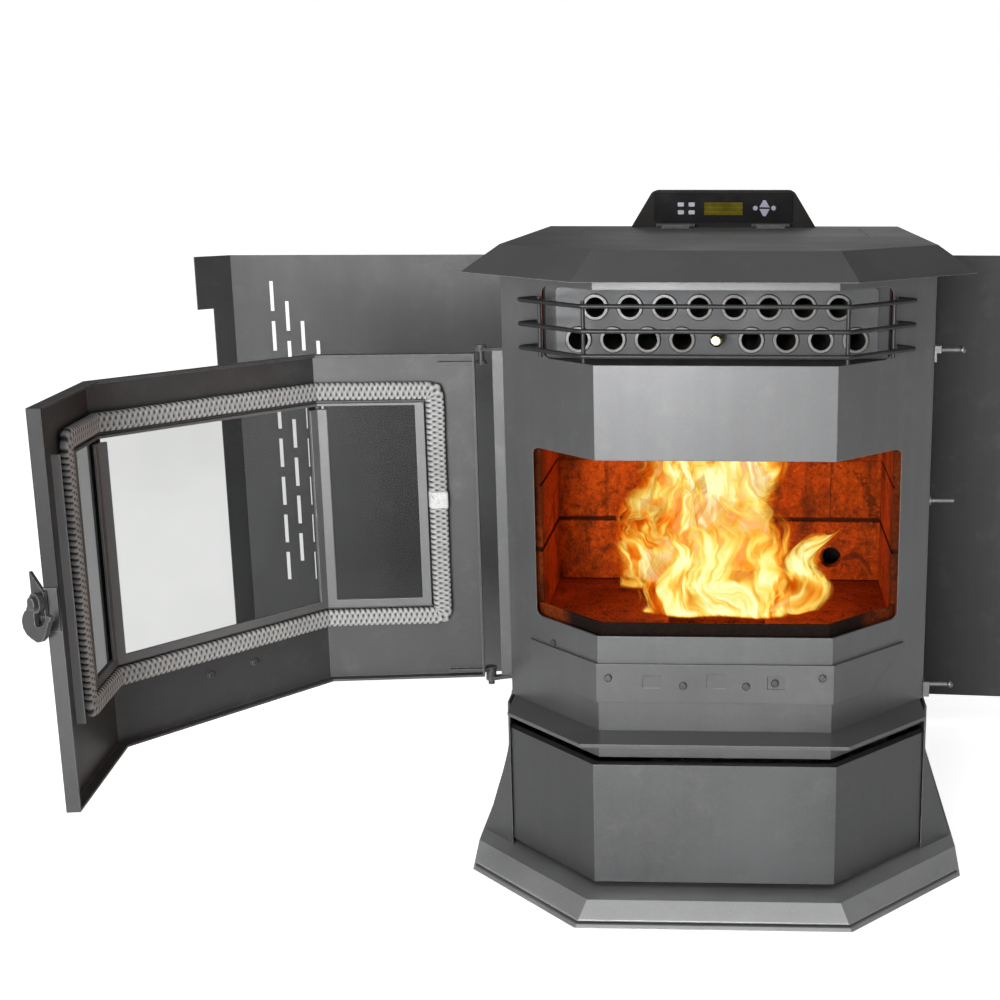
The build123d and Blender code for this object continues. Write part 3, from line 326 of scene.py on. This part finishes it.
# cast iron with sand texture
k = Mat("cast_iron_pot")
sand = k.noise(650.0, 4.0, 0.7)
ash = k.noise(40.0, 6.0, 0.75)
c = k.mix(k.span(sand, 0.3, 0.75), (0.018, 0.014, 0.012), (0.05, 0.04, 0.034))
c = k.mix(k.span(ash, 0.5, 0.75, 0.0, 0.35), c, (0.2, 0.15, 0.12))
iron = k.surface(k.principled(c, k.span(ash, 0.3, 0.8, 0.62, 0.85), 0.0, k.bump(sand, 0.5, 0.0012, k.round_edge(0.001))))

# firebox plate with brown scale and sooty pits; near-black painted shadow along the front sill
k = Mat("firebox_plate")
big = k.noise(14.0, 7.0, 0.72)
sm = k.noise(300.0, 4.0, 0.7)
pits = k.noise(75.0, 5.0, 0.75)
sep = k.new("ShaderNodeSeparateXYZ")
k.put(sep.inputs[0], k.coord())
front = k.span(k.math("ADD", sep.outputs[1], k.math("MULTIPLY", k.math("SUBTRACT", big, 0.5), 0.03)), -0.215, -0.19)
flank = k.math("SUBTRACT", k.math("ADD", sep.outputs[1], 0.399), k.math("ABSOLUTE", sep.outputs[0]))
sill_shadow_mask = k.math("MULTIPLY", front, k.span(flank, 0.004, 0.02))
# orange mottled tone and bright orange specks: painted fire glow on the plate
c = k.mix(k.span(big, 0.35, 0.7), (0.16, 0.02, 0.001), (0.3, 0.046, 0.003))
c = k.mix(k.span(pits, 0.5, 0.66, 0.0, 0.85), c, (0.03, 0.006, 0.001))
c = k.mix(k.span(sm, 0.46, 0.62, 0.0, 0.5), c, (0.05, 0.009, 0.001))
c = k.mix(k.span(sm, 0.32, 0.42, 0.35, 0.0), c, (0.6, 0.12, 0.008))
# near black along the front sill and its flanks: painted shadow
c = k.mix(k.math("SUBTRACT", 1.0, sill_shadow_mask), c, k.mix(k.span(sm, 0.3, 0.8), (0.004, 0.0025, 0.002), (0.02, 0.01, 0.006)))
firebox_mat = k.surface(k.principled(c, k.span(sm, 0.2, 0.8, 0.7, 0.9), 0.0, k.bump(big, 0.3, 0.002, k.bump(sm, 0.35, 0.0008, k.round_edge(0.0012))), Specular_IOR_Level=0.1))

# firebrick: pitted, cracked, sooty streaks; saturated orange-red and bright specks are painted fire glow, darker
# towards the front as painted shade
k = Mat("firebrick")
big = k.noise(9.0, 8.0, 0.68, distortion=0.4)
pits = k.voronoi(150.0)
holes = k.noise(75.0, 5.0, 0.75)
flow = k.noise(18.0, 6.0, 0.7, stretch=(1.0, 1.0, 0.35))
crack = k.voronoi(5.0, feature="DISTANCE_TO_EDGE", out="Distance")
crack_line = k.math("ADD", crack, k.math("MULTIPLY", k.math("SUBTRACT", k.noise(26.0, 5.0, 0.7), 0.5), 0.22))
# saturated orange-red base: painted fire glow on the brick
c = k.mix(k.span(big, 0.3, 0.7), (0.2, 0.026, 0.0012), (0.36, 0.055, 0.003))
c = k.mix(k.span(holes, 0.5, 0.68, 0.0, 0.8), c, (0.05, 0.01, 0.002))
grit = k.noise(210.0, 4.0, 0.7)
c = k.mix(k.span(grit, 0.47, 0.62, 0.0, 0.5), c, (0.07, 0.012, 0.001))
# bright orange specks: painted fire glow
c = k.mix(k.span(grit, 0.3, 0.42, 0.35, 0.0), c, (0.6, 0.12, 0.008))
c = k.mix(k.span(flow, 0.48, 0.68, 0.0, 0.75), c, (0.03, 0.008, 0.002))
c = k.mix(k.span(crack_line, 0.0, 0.012, 0.55, 0.0), c, (0.02, 0.006, 0.002))
sep = k.new("ShaderNodeSeparateXYZ")
k.put(sep.inputs[0], k.coord())
row = k.math("ADD", k.math("ABSOLUTE", k.math("SUBTRACT", sep.outputs[2], 0.418)), k.math("MULTIPLY", k.math("SUBTRACT", holes, 0.5), 0.006))
c = k.mix(k.span(row, 0.0018, 0.0045, 0.9, 0.0), c, (0.012, 0.003, 0.001))
# darker towards the front of the firebox: painted shade
near = k.math("ADD", sep.outputs[1], k.math("MULTIPLY", k.math("SUBTRACT", big, 0.5), 0.05))
c = k.mix(k.span(near, -0.19, -0.1, 0.8, 0.0), c, (0.02, 0.005, 0.002))
h = k.math("ADD", k.math("MULTIPLY", k.span(pits, 0.0, 0.35), 0.3), k.math("MULTIPLY", holes, -1.2))
firebrick = k.surface(k.principled(c, 0.9, 0.0, k.bump(h, 0.6, 0.003, k.round_edge(0.0015)), Specular_IOR_Level=0.1))

pod_case = plastic("pod_case", (0.016, 0.0125, 0.0115), rough=0.5, grain=0.2, edge=0.5, spec=0.12)
pod_panel = plastic("pod_panel", (0.0035, 0.003, 0.0035), rough=0.5, grain=0.05, edge=0.4, dust=0.03, spec=0.1)
key_grey = plastic("key_grey", (0.46, 0.46, 0.52), rough=0.4, grain=0.1, edge=0.4)
nav_grey = plastic("nav_lilac_grey", (0.34, 0.33, 0.42), rough=0.38, grain=0.1, edge=0.4)
inlet_black = plastic("inlet_black", (0.02, 0.02, 0.021), rough=0.45, grain=0.2)

# backlit display, rows of unlit character cells
k = Mat("display_window")
tc = k.coord()
sep = k.new("ShaderNodeSeparateXYZ")
k.put(sep.inputs[0], tc)
cx = k.math("ABSOLUTE", k.math("SUBTRACT", k.math("FRACT", k.math("MULTIPLY", sep.outputs[0], 300.0)), 0.5))
cz = k.math("ABSOLUTE", k.math("SUBTRACT", k.math("FRACT", k.math("MULTIPLY", k.math("SUBTRACT", sep.outputs[2], 0.8115), 150.0)), 0.5))
cell = k.math("MULTIPLY", k.span(cx, 0.3, 0.38, 1.0, 0.0), k.span(cz, 0.3, 0.36, 1.0, 0.0))
glow = k.noise(60.0, 2.0, 0.5)
c = k.mix(k.span(glow, 0.3, 0.7), (0.11, 0.09, 0.009), (0.17, 0.14, 0.018))
c = k.mix(k.math("MULTIPLY", cell, 0.45), c, (0.04, 0.032, 0.006))
display = k.surface(k.principled(c, 0.6, 0.0, k.bump(k.noise(900.0), 0.02, 0.0003), Specular_IOR_Level=0.0))

k = Mat("circuit_board")
tr = k.voronoi(260.0, feature="DISTANCE_TO_EDGE")
c = k.mix(k.span(tr, 0.0, 0.06), (0.25, 0.3, 0.12), (0.01, 0.09, 0.04))
board = k.surface(k.principled(c, 0.4, 0.0, k.bump(tr, 0.2, 0.0004)))

# door panes: clear ceramic glass with a light bloom of fly ash
def pane(name, clear, dull):
    k = Mat(name)
    smear = k.noise(4.0, 3.0, 0.5)
    wipe = k.noise(9.0, 4.0, 0.55, stretch=(1.0, 1.0, 0.25))
    tr = k.new("ShaderNodeBsdfTransparent")
    k.put(tr.inputs["Color"], k.mix(k.span(smear, 0.3, 0.75), clear, dull))
    gl = k.new("ShaderNodeBsdfGlossy", distribution="BECKMANN")
    k.put(gl.inputs["Color"], (0.9, 0.92, 0.93))
    k.put(gl.inputs["Roughness"], k.span(wipe, 0.3, 0.8, 0.03, 0.1))
    haze = k.new("ShaderNodeBsdfDiffuse")
    k.put(haze.inputs["Color"], (0.55, 0.55, 0.54))
    m1 = k.new("ShaderNodeMixShader")
    edge_on = k.new("ShaderNodeFresnel")
    edge_on.inputs["IOR"].default_value = 1.45
    k.put(m1.inputs[0], k.math("MULTIPLY", edge_on.outputs[0], 0.12))
    k.t.links.new(tr.outputs[0], m1.inputs[1])
    k.t.links.new(gl.outputs[0], m1.inputs[2])
    m2 = k.new("ShaderNodeMixShader")
    k.put(m2.inputs[0], k.math("ADD", k.span(smear, 0.35, 0.8, 0.002, 0.012), k.span(wipe, 0.45, 0.8, 0.0, 0.008)))
    k.t.links.new(m1.outputs[0], m2.inputs[1])
    k.t.links.new(haze.outputs[0], m2.inputs[2])
    return k.surface(m2.outputs[0])


glass = pane("ceramic_glass", (0.785, 0.79, 0.785), (0.74, 0.745, 0.735))
# latch-side pane: a darker copy of the same clear glass, painted shade
shaded_glass = pane("ceramic_glass_shaded", (0.47, 0.472, 0.47), (0.4, 0.402, 0.398))

BY_NODE = {
    "base_plinth": plinth_paint, "pedestal_shell": body_paint, "ledge_plate": ledge_paint, "body_front": facet_paint,
    "body_left_side": dark_paint, "body_right_side": dark_paint, "rear_panel": dark_paint, "outlet_box": dark_paint,
    "tube_face_plate": plate_paint, "heat_tubes": tube_metal, "outlet_guard": guard_paint, "firebox_shell": firebox_mat,
    "brick_back": firebrick, "side_bricks": firebrick, "burn_pot_seat": firebox_mat, "igniter": zinc, "burn_pot": iron,
    "auger_tube": sooty_metal, "hopper": galvanised, "auger_screw": sooty_metal, "auger_motor": motor_metal,
    "convection_blower": galvanised, "convection_wheel": galvanised, "rear_air_duct": galvanised,
    "exhaust_blower": motor_metal, "exhaust_impeller": sooty_metal, "air_intake_pipe": galvanised, "power_inlet": inlet_black,
    "band_plate": band_paint, "face_bolts": bolt_black, "top_plate": lid_paint, "hopper_lid": lid_paint,
    "pod_housing": pod_case, "pod_face": pod_panel, "pod_display": display, "control_board": board,
    "tube_scraper": shaft_metal, "scraper_knob": brass, "ash_drawer_front": drawer_paint, "ash_drawer_pan": galvanised,
    "door_frame": door_paint, "door_glass_centre": glass, "door_glass_hinge_side": glass, "door_glass_latch_side": shaded_glass,
    "glass_retainer": retainer_paint, "latch_bracket": latch_paint, "latch_handle": latch_paint, "hinge_post": post_paint,
    "side_catch_pins": zinc, "side_panel_left": panel_paint, "side_panel_right": right_panel_shaded_paint, "door_gasket": trim_paint,
}
for n in NODES:
    if n.startswith("key_"):
        BY_NODE[n] = key_grey
    if n.startswith("nav_"):
        BY_NODE[n] = nav_grey
for n, o in NODES.items():
    o.data.materials.clear()
    o.data.materials.append(BY_NODE[n])


# ---------------------------------------------------------------------------
# mesh pieces
# ---------------------------------------------------------------------------
def mesh_object(name, verts, faces, mat, uvs=None, smooth=True):
    me = bpy.data.meshes.new(name)
    me.from_pydata([tuple(map(float, v)) for v in verts], [], faces)
    if uvs is not None:
        layer = me.uv_layers.new(name="UVMap")
        loops = np.zeros(len(me.loops), np.int64)
        me.loops.foreach_get("vertex_index", loops)
        layer.data.foreach_set("uv", np.asarray(uvs, np.float32)[loops].ravel())
    me.polygons.foreach_set("use_smooth", [smooth] * len(me.polygons))
    me.update()
    me.materials.append(mat)
    o = bpy.data.objects.new(name, me)
    bpy.context.scene.collection.objects.link(o)
    return o


def from_closed_door(p):
    """Bay coordinates in mm on the closed door to the row frame in metres, door open."""
    x, y, z = p[:, 0] / 1000 - HINGE[0], p[:, 1] / 1000 - HINGE[1], p[:, 2] / 1000
    ca, sa = math.cos(DOOR_OPEN), math.sin(DOOR_OPEN)
    return np.stack([HINGE[0] + ca * x - sa * y, HINGE[1] + sa * x + ca * y + BAY_Y, z], 1)


MID_O = 7.15
FOLD = 139.0 + T * MID_O


def unroll(w, z, o):
    """Flat coordinates on the door (w across, z up, o off the bay) to bay coordinates in mm."""
    a = np.abs(w)
    s = np.sign(w)
    f = 139.0 + T * o
    over = np.maximum(a - FOLD, 0.0)
    x = np.where(a <= FOLD, a * f / FOLD, f + over / R2)
    y = -123.0 - o + over / R2
    return np.stack([s * x, y, z], 1)


def loop_points(w0, w1, z0, z1, r, step):
    """Rounded rectangle as evenly spaced points with their in-plane outward normals."""
    parts = []
    n = lambda length: max(2, int(round(length / step)))
    sides = (((w0 + r, z0), (w1 - r, z0), 0, -1, (w1 - r, z0 + r)), ((w1, z0 + r), (w1, z1 - r), 1, 0, (w1 - r, z1 - r)),
             ((w1 - r, z1), (w0 + r, z1), 0, 1, (w0 + r, z1 - r)), ((w0, z1 - r), (w0, z0 + r), -1, 0, (w0 + r, z0 + r)))
    for (ax, az), (bx, bz), nx, nz, (ccx, ccz) in sides:
        k_ = n(math.hypot(bx - ax, bz - az))
        t = np.arange(k_) / k_
        parts.append(np.stack([ax + (bx - ax) * t, az + (bz - az) * t, np.full(k_, nx), np.full(k_, nz)], 1))
        k_ = n(math.pi / 2 * r)
        ang = math.atan2(nz, nx) + (np.arange(k_) / k_) * math.pi / 2
        parts.append(np.stack([ccx + r * np.cos(ang), ccz + r * np.sin(ang), np.cos(ang), np.sin(ang)], 1))
    return np.concatenate(parts)


HINGE_STRAND = FOLD + 145.0 - T * (16.0 - MID_O)
LATCH_STRAND = FOLD + 100.0 - T * (16.0 - MID_O)


def build_rope():
    P = loop_points(-HINGE_STRAND, LATCH_STRAND, 328.2, 613.8, 10.8, 0.8)
    d = np.hypot(*(np.roll(P[:, :2], -1, 0) - P[:, :2]).T)
    t = np.concatenate([[0], np.cumsum(d)[:-1]])
    total = d.sum()
    pitch = total / round(total / 6.6)
    M = 36
    th = np.arange(M) / M * 2 * math.pi
    ca, sa = np.cos(th), np.sin(th)
    e = 0.62
    a = 10.4 * np.sign(ca) * np.abs(ca) ** e
    b = 5.3 * np.sign(sa) * np.abs(sa) ** e
    rng = np.random.default_rng(7)
    wob = np.interp(t, np.linspace(0, total, 90), np.append(rng.normal(0, 0.35, 89), 0.0))
    verts, uvs = [], []
    A, TT = np.meshgrid(a, t)
    phase = TT / pitch + wob[:, None] * 0.12
    across = (A + 3.2) / 12.8
    lattice = np.cos(2 * math.pi * phase) * np.cos(2 * math.pi * across)
    plait = 0.5 + 0.5 * np.cos(2 * math.pi * (phase - 0.5 * np.abs(A) / 6.4))
    weave = np.clip((lattice + 1.0) / 1.15, 0.0, 1.0) ** 0.7 * (0.78 + 0.22 * plait)
    height = 1.1 * weave - 0.45
    N = len(P)
    ga = (a[None, :] + np.sign(a)[None, :] * 0.35 * height * (np.abs(ca)[None, :] > 0.6))
    scale_b = (5.3 + height * 0.85) / 5.3
    bb = b[None, :] * scale_b
    # the outer half of the rope is squared off where it turns the corner
    square = 1.0 + 0.75 * (1.0 / np.maximum(np.abs(P[:, 2:3]), np.abs(P[:, 3:4])) - 1.0) * np.clip(ga / 10.4, 0.0, 1.0)
    W = P[:, 0:1] + P[:, 2:3] * (ga * square + wob[:, None] * 0.5)
    Z = P[:, 1:2] + P[:, 3:4] * (ga * square + wob[:, None] * 0.5)
    O = MID_O + bb
    pts = from_closed_door(unroll(W.ravel(), Z.ravel(), O.ravel()))
    uv = np.stack([weave.ravel(), (TT / total).ravel()], 1)
    faces = []
    for i in range(N):
        j = (i + 1) % N
        for m in range(M):
            q = (m + 1) % M
            faces.append((i * M + m, i * M + q, j * M + q, j * M + m))
    k = Mat("rope_gasket_yarn")
    uvn = k.new("ShaderNodeUVMap")
    sep = k.new("ShaderNodeSeparateXYZ")
    k.put(sep.inputs[0], uvn.outputs[0])
    wv = sep.outputs[0]
    fuzz = k.noise(1100.0, 3.0, 0.7)
    darkening = k.noise(22.0, 5.0, 0.65)
    # the ramp darkens the braid's grooves nearly black and lightens its crowns: painted shade and painted highlight;
    # sooty grey patches are mixed in next
    c = k.ramp(wv, [(0.12, (0.01, 0.01, 0.01)), (0.34, (0.045, 0.045, 0.044)), (0.62, (0.22, 0.22, 0.217)), (1.0, (0.5, 0.5, 0.495))])
    c = k.mix(k.span(darkening, 0.45, 0.8, 0.0, 0.3), c, (0.1, 0.098, 0.095))
    c = k.mix(k.span(fuzz, 0.4, 0.75, 0.0, 0.2), c, (0.34, 0.34, 0.33))
    mat = k.surface(k.principled(c, 0.92, 0.0, k.bump(fuzz, 0.6, 0.0008)))
    o = mesh_object("rope_gasket_braid", pts, faces, mat, uv)
    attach(o, "fire_door")
    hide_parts("door_gasket")
    return o


def build_sleeve():
    """Tape wrapped round the rope's joint on the hinge-side strand."""
    w0 = -HINGE_STRAND
    zs = np.linspace(467.0, 487.5, 34)
    M = 40
    th = np.arange(M) / M * 2 * math.pi
    ca, sa = np.cos(th), np.sin(th)
    a = 11.3 * np.sign(ca) * np.abs(ca) ** 0.55
    b = 6.1 * np.sign(sa) * np.abs(sa) ** 0.55
    pts = []
    for i, z in enumerate(zs):
        bulge = 1.0 + 0.012 * math.sin(i * 1.9) - (0.1 if i in (0, len(zs) - 1) else 0.0)
        pts.append(unroll(w0 + a * bulge, z + 0.5 * np.sin(th * 3 + i), MID_O + b * (1.0 if bulge > 0.95 else 0.93)))
    pts = from_closed_door(np.concatenate(pts))
    faces = []
    for i in range(len(zs) - 1):
        for m in range(M):
            q = (m + 1) % M
            faces.append((i * M + m, i * M + q, (i + 1) * M + q, (i + 1) * M + m))
    faces.append(tuple(range(M - 1, -1, -1)))
    faces.append(tuple(range((len(zs) - 1) * M, len(zs) * M)))
    k = Mat("rope_joint_tape")
    wv = k.noise(900.0, 3.0, 0.6, stretch=(1.0, 1.0, 0.35))
    dirt = k.noise(120.0, 5.0, 0.7)
    c = k.mix(k.span(wv, 0.3, 0.7), (0.5, 0.5, 0.49), (0.7, 0.7, 0.69))
    c = k.mix(k.span(dirt, 0.56, 0.75, 0.0, 0.75), c, (0.12, 0.12, 0.12))
    mat = k.surface(k.principled(c, 0.85, 0.0, k.bump(wv, 0.5, 0.0008)))
    o = mesh_object("rope_joint_sleeve", pts, faces, mat)
    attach(o, "fire_door")
    return o


build_rope()
build_sleeve()


# flames: bent sheets rising from the burn pot
def flame_material(name, seed, half, height, bright, top_gap):
    k = Mat(name)
    uvn = k.new("ShaderNodeUVMap")
    sep = k.new("ShaderNodeSeparateXYZ")
    k.put(sep.inputs[0], uvn.outputs[0])
    u, v = sep.outputs[0], sep.outputs[1]
    comb = k.new("ShaderNodeCombineXYZ")
    k.put(comb.inputs[0], k.math("MULTIPLY", u, half * 2))
    k.put(comb.inputs[1], k.math("MULTIPLY", v, height))
    comb.inputs[2].default_value = seed
    warp = k.new("ShaderNodeTexNoise")
    k.put(warp.inputs["Vector"], comb.outputs[0])
    warp.inputs["Scale"].default_value = 9.0
    warp.inputs["Detail"].default_value = 3.0
    off = k.new("ShaderNodeVectorMath", operation="MULTIPLY_ADD")
    k.put(off.inputs[0], warp.outputs["Color"])
    off.inputs[1].default_value = (0.16, 0.08, 0.0)
    k.put(off.inputs[2], comb.outputs[0])
    st = k.new("ShaderNodeMapping")
    k.put(st.inputs["Vector"], off.outputs[0])
    st.inputs["Scale"].default_value = (1.0, 0.42, 1.0)
    n1 = k.noise(15.0, 6.0, 0.55, vector=st.outputs[0], distortion=1.8)
    n2 = k.noise(34.0, 4.0, 0.55, vector=st.outputs[0], distortion=1.2)
    curl = k.noise(17.0, 3.0, 0.5, vector=st.outputs[0], distortion=2.0)
    side = k.math("ABSOLUTE", k.math("SUBTRACT", k.math("MULTIPLY", u, 2.0), 1.0))
    lean = k.math("MULTIPLY", k.math("POWER", side, 2.6), k.math("ADD", 0.8, k.math("MULTIPLY", v, 0.5)))
    rise = k.math("MULTIPLY", k.math("POWER", v, 2.2), top_gap)
    e = k.math("SUBTRACT", k.math("SUBTRACT", 0.9, lean), rise)
    e = k.math("ADD", e, k.math("MULTIPLY", k.math("SUBTRACT", n1, 0.5), 2.1))
    e = k.math("ADD", e, k.math("MULTIPLY", k.math("SUBTRACT", n2, 0.5), 0.8))
    foot = k.span(v, 0.0, 0.05)
    e = k.math("MULTIPLY", e, foot)
    wisp = k.noise(75.0, 3.0, 0.6, vector=st.outputs[0], distortion=0.8)
    heat = k.math("MULTIPLY", e, k.math("MULTIPLY", k.span(curl, 0.38, 0.6, 0.3, 1.04), k.span(wisp, 0.38, 0.6, 0.86, 1.05)))
    colour = k.ramp(heat, [(0.06, (0.5, 0.035, 0.0)), (0.18, (0.95, 0.16, 0.003)), (0.33, (1.0, 0.4, 0.03)), (0.54, (1.0, 0.72, 0.13)), (0.85, (1.0, 0.93, 0.48))])
    power = k.math("MULTIPLY", k.span(e, 0.15, 0.8, 0.5, 1.0), bright)
    em = k.new("ShaderNodeEmission")
    k.put(em.inputs["Color"], colour)
    k.put(em.inputs["Strength"], power)
    tr = k.new("ShaderNodeBsdfTransparent")
    mx = k.new("ShaderNodeMixShader")
    k.put(mx.inputs[0], k.math("MULTIPLY", k.span(e, 0.12, 0.6), k.span(curl, 0.34, 0.56, 0.5, 0.96)))
    k.t.links.new(tr.outputs[0], mx.inputs[1])
    k.t.links.new(em.outputs[0], mx.inputs[2])
    return k.surface(mx.outputs[0])


def flame_sheet(name, cx, cy, half, z0, z1, turn, curve, seed, bright, top_gap=1.0, tilt=0.0, lean=0.0):
    nu, nv = 30, 36
    verts, uvs, faces = [], [], []
    for j in range(nv + 1):
        v = j / nv
        for i in range(nu + 1):
            u = i / nu
            a = (u - 0.5) * 2
            lx = a * half * (1.0 - 0.18 * v)
            ly = curve * (a * a - 0.4) + 0.014 * math.sin(6.0 * a + 9.0 * v + seed) * (0.4 + v) + lean * v
            lx += 0.01 * math.sin(8.0 * v + seed * 2.0) + tilt * v ** 1.5
            x = cx + lx * math.cos(turn) - ly * math.sin(turn)
            y = cy + lx * math.sin(turn) + ly * math.cos(turn)
            verts.append((x, y, z0 + (z1 - z0) * v))
            uvs.append((u, v))
    for j in range(nv):
        for i in range(nu):
            p = j * (nu + 1) + i
            faces.append((p, p + 1, p + nu + 2, p + nu + 1))
    o = mesh_object(name, verts, faces, flame_material(name, seed, half, z1 - z0, bright, top_gap), uvs)
    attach(o, "pot")
    o.visible_shadow = False
    return o


pot_y = 0.070 + BAY_Y
flame_sheet("flame_main", -0.017, pot_y, 0.12, 0.345, 0.604, 0.0, 0.022, 1.3, 1.15, 0.1)
flame_sheet("flame_rear", -0.025, pot_y + 0.03, 0.11, 0.35, 0.604, 0.12, -0.02, 4.1, 1.0, 0.15)
flame_sheet("flame_mid", -0.014, pot_y - 0.03, 0.105, 0.34, 0.6, -0.08, 0.015, 17.7, 1.15, 0.1)
flame_sheet("flame_near", 0.004, pot_y - 0.115, 0.115, 0.3365, 0.5, -0.03, 0.02, 7.7, 1.25, 0.8, 0.0, 0.06)
flame_sheet("flame_cross", -0.015, pot_y, 0.05, 0.35, 0.6, math.pi / 2, 0.01, 9.2, 1.0, 0.5)
flame_sheet("flame_tongue", 0.092, pot_y - 0.1, 0.042, 0.338, 0.442, -0.1, 0.01, 21.5, 1.2, 0.6, 0.042, 0.02)


# ---------------------------------------------------------------------------
# floor, light and camera
# ---------------------------------------------------------------------------
k = Mat("pale_floor")
n = k.noise(3.0, 5.0, 0.6)
lp = k.new("ShaderNodeLightPath")
floor_mat = k.surface(k.principled(k.mix(k.span(n, 0.3, 0.7), (0.84, 0.84, 0.84), (0.88, 0.88, 0.88)), 0.8, 0.0, Emission_Color=(1.0, 1.0, 1.0), Emission_Strength=k.math("ADD", k.math("MULTIPLY", lp.outputs["Is Camera Ray"], 0.55), 0.15)))
floor = mesh_object("floor", [(-60, -60, -0.0004), (60, -60, -0.0004), (60, 60, -0.0004), (-60, 60, -0.0004)], [(0, 1, 2, 3)], floor_mat, smooth=False)

world = bpy.data.worlds.new("studio")
bpy.context.scene.world = world
world.use_nodes = True
wt = world.node_tree
bg = wt.nodes["Background"]
bg.inputs["Color"].default_value = (1.0, 1.0, 1.0, 1.0)
bg.inputs["Strength"].default_value = 0.12
backdrop = wt.nodes.new("ShaderNodeBackground")
backdrop.inputs["Color"].default_value = (1.0, 1.0, 1.0, 1.0)
backdrop.inputs["Strength"].default_value = 1.0
which = wt.nodes.new("ShaderNodeLightPath")
pick = wt.nodes.new("ShaderNodeMixShader")
wt.links.new(which.outputs["Is Camera Ray"], pick.inputs[0])
wt.links.new(bg.outputs[0], pick.inputs[1])
wt.links.new(backdrop.outputs[0], pick.inputs[2])
wt.links.new(pick.outputs[0], wt.nodes["World Output"].inputs["Surface"])
bpy.context.scene.view_settings.view_transform = "Standard"


def area(name, loc, aim, size, power, colour=(1, 1, 1)):
    d = bpy.data.lights.new(name, "AREA")
    d.shape = "RECTANGLE"
    d.size, d.size_y = size
    d.energy = power
    d.color = colour
    o = bpy.data.objects.new(name, d)
    bpy.context.scene.collection.objects.link(o)
    o.location = loc
    o.rotation_mode = "QUATERNION"
    o.rotation_quaternion = (Vector(aim) - Vector(loc)).to_track_quat("-Z", "Y")
    o.visible_camera = False
    return o


area("front_panel", (-0.85, -4.35, 0.85), (0.0, 0.0, 0.5), (1.4, 1.4), 165.0)
area("left_panel_light", (-3.6, -1.2, 1.4), (0.0, 0.0, 0.5), (1.5, 1.5), 20.0)
area("rear_fill", (0.6, 3.6, 1.8), (0.0, 0.2, 0.5), (2.4, 1.6), 10.0)
d = bpy.data.lights.new("overhead", "SUN")
d.energy = 1.2
d.angle = math.radians(70.0)
o = bpy.data.objects.new("overhead", d)
bpy.context.scene.collection.objects.link(o)
o.location = (0.0, 0.0, 3.0)
o.rotation_mode = "QUATERNION"
o.rotation_quaternion = Vector((0.05, 0.25, -1.0)).to_track_quat("-Z", "Y")

for name, loc, power, rad in (("fire_glow", (-0.04, pot_y - 0.02, 0.46), 0.85, 0.05), ("fire_glow_low", (0.03, pot_y - 0.09, 0.415), 0.85, 0.03)):
    d = bpy.data.lights.new(name, "POINT")
    d.energy = power
    d.color = (1.0, 0.3, 0.06)
    d.shadow_soft_size = rad
    o = bpy.data.objects.new(name, d)
    bpy.context.scene.collection.objects.link(o)
    o.location = loc
    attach(o, "pot")

cam_data = bpy.data.cameras.new("camera")
cam = bpy.data.objects.new("camera", cam_data)
bpy.context.scene.collection.objects.link(cam)
yaw, pitch = math.radians(-1.7), math.radians(12.9)
look = Vector((math.sin(yaw) * math.cos(pitch), math.cos(yaw) * math.cos(pitch), -math.sin(pitch)))
cam.location = (0.0323, -1.8056 + BAY_Y, 0.8898)
cam.rotation_mode = "QUATERNION"
cam.rotation_quaternion = look.to_track_quat("-Z", "Y")
cam_data.sensor_width = 36.0
cam_data.lens = 1494.4 / 1000.0 * 36.0
cam_data.shift_x = -0.2
cam_data.shift_y = 0.0
cam_data.clip_start, cam_data.clip_end = 0.05, 60.0
bpy.context.scene.camera = cam
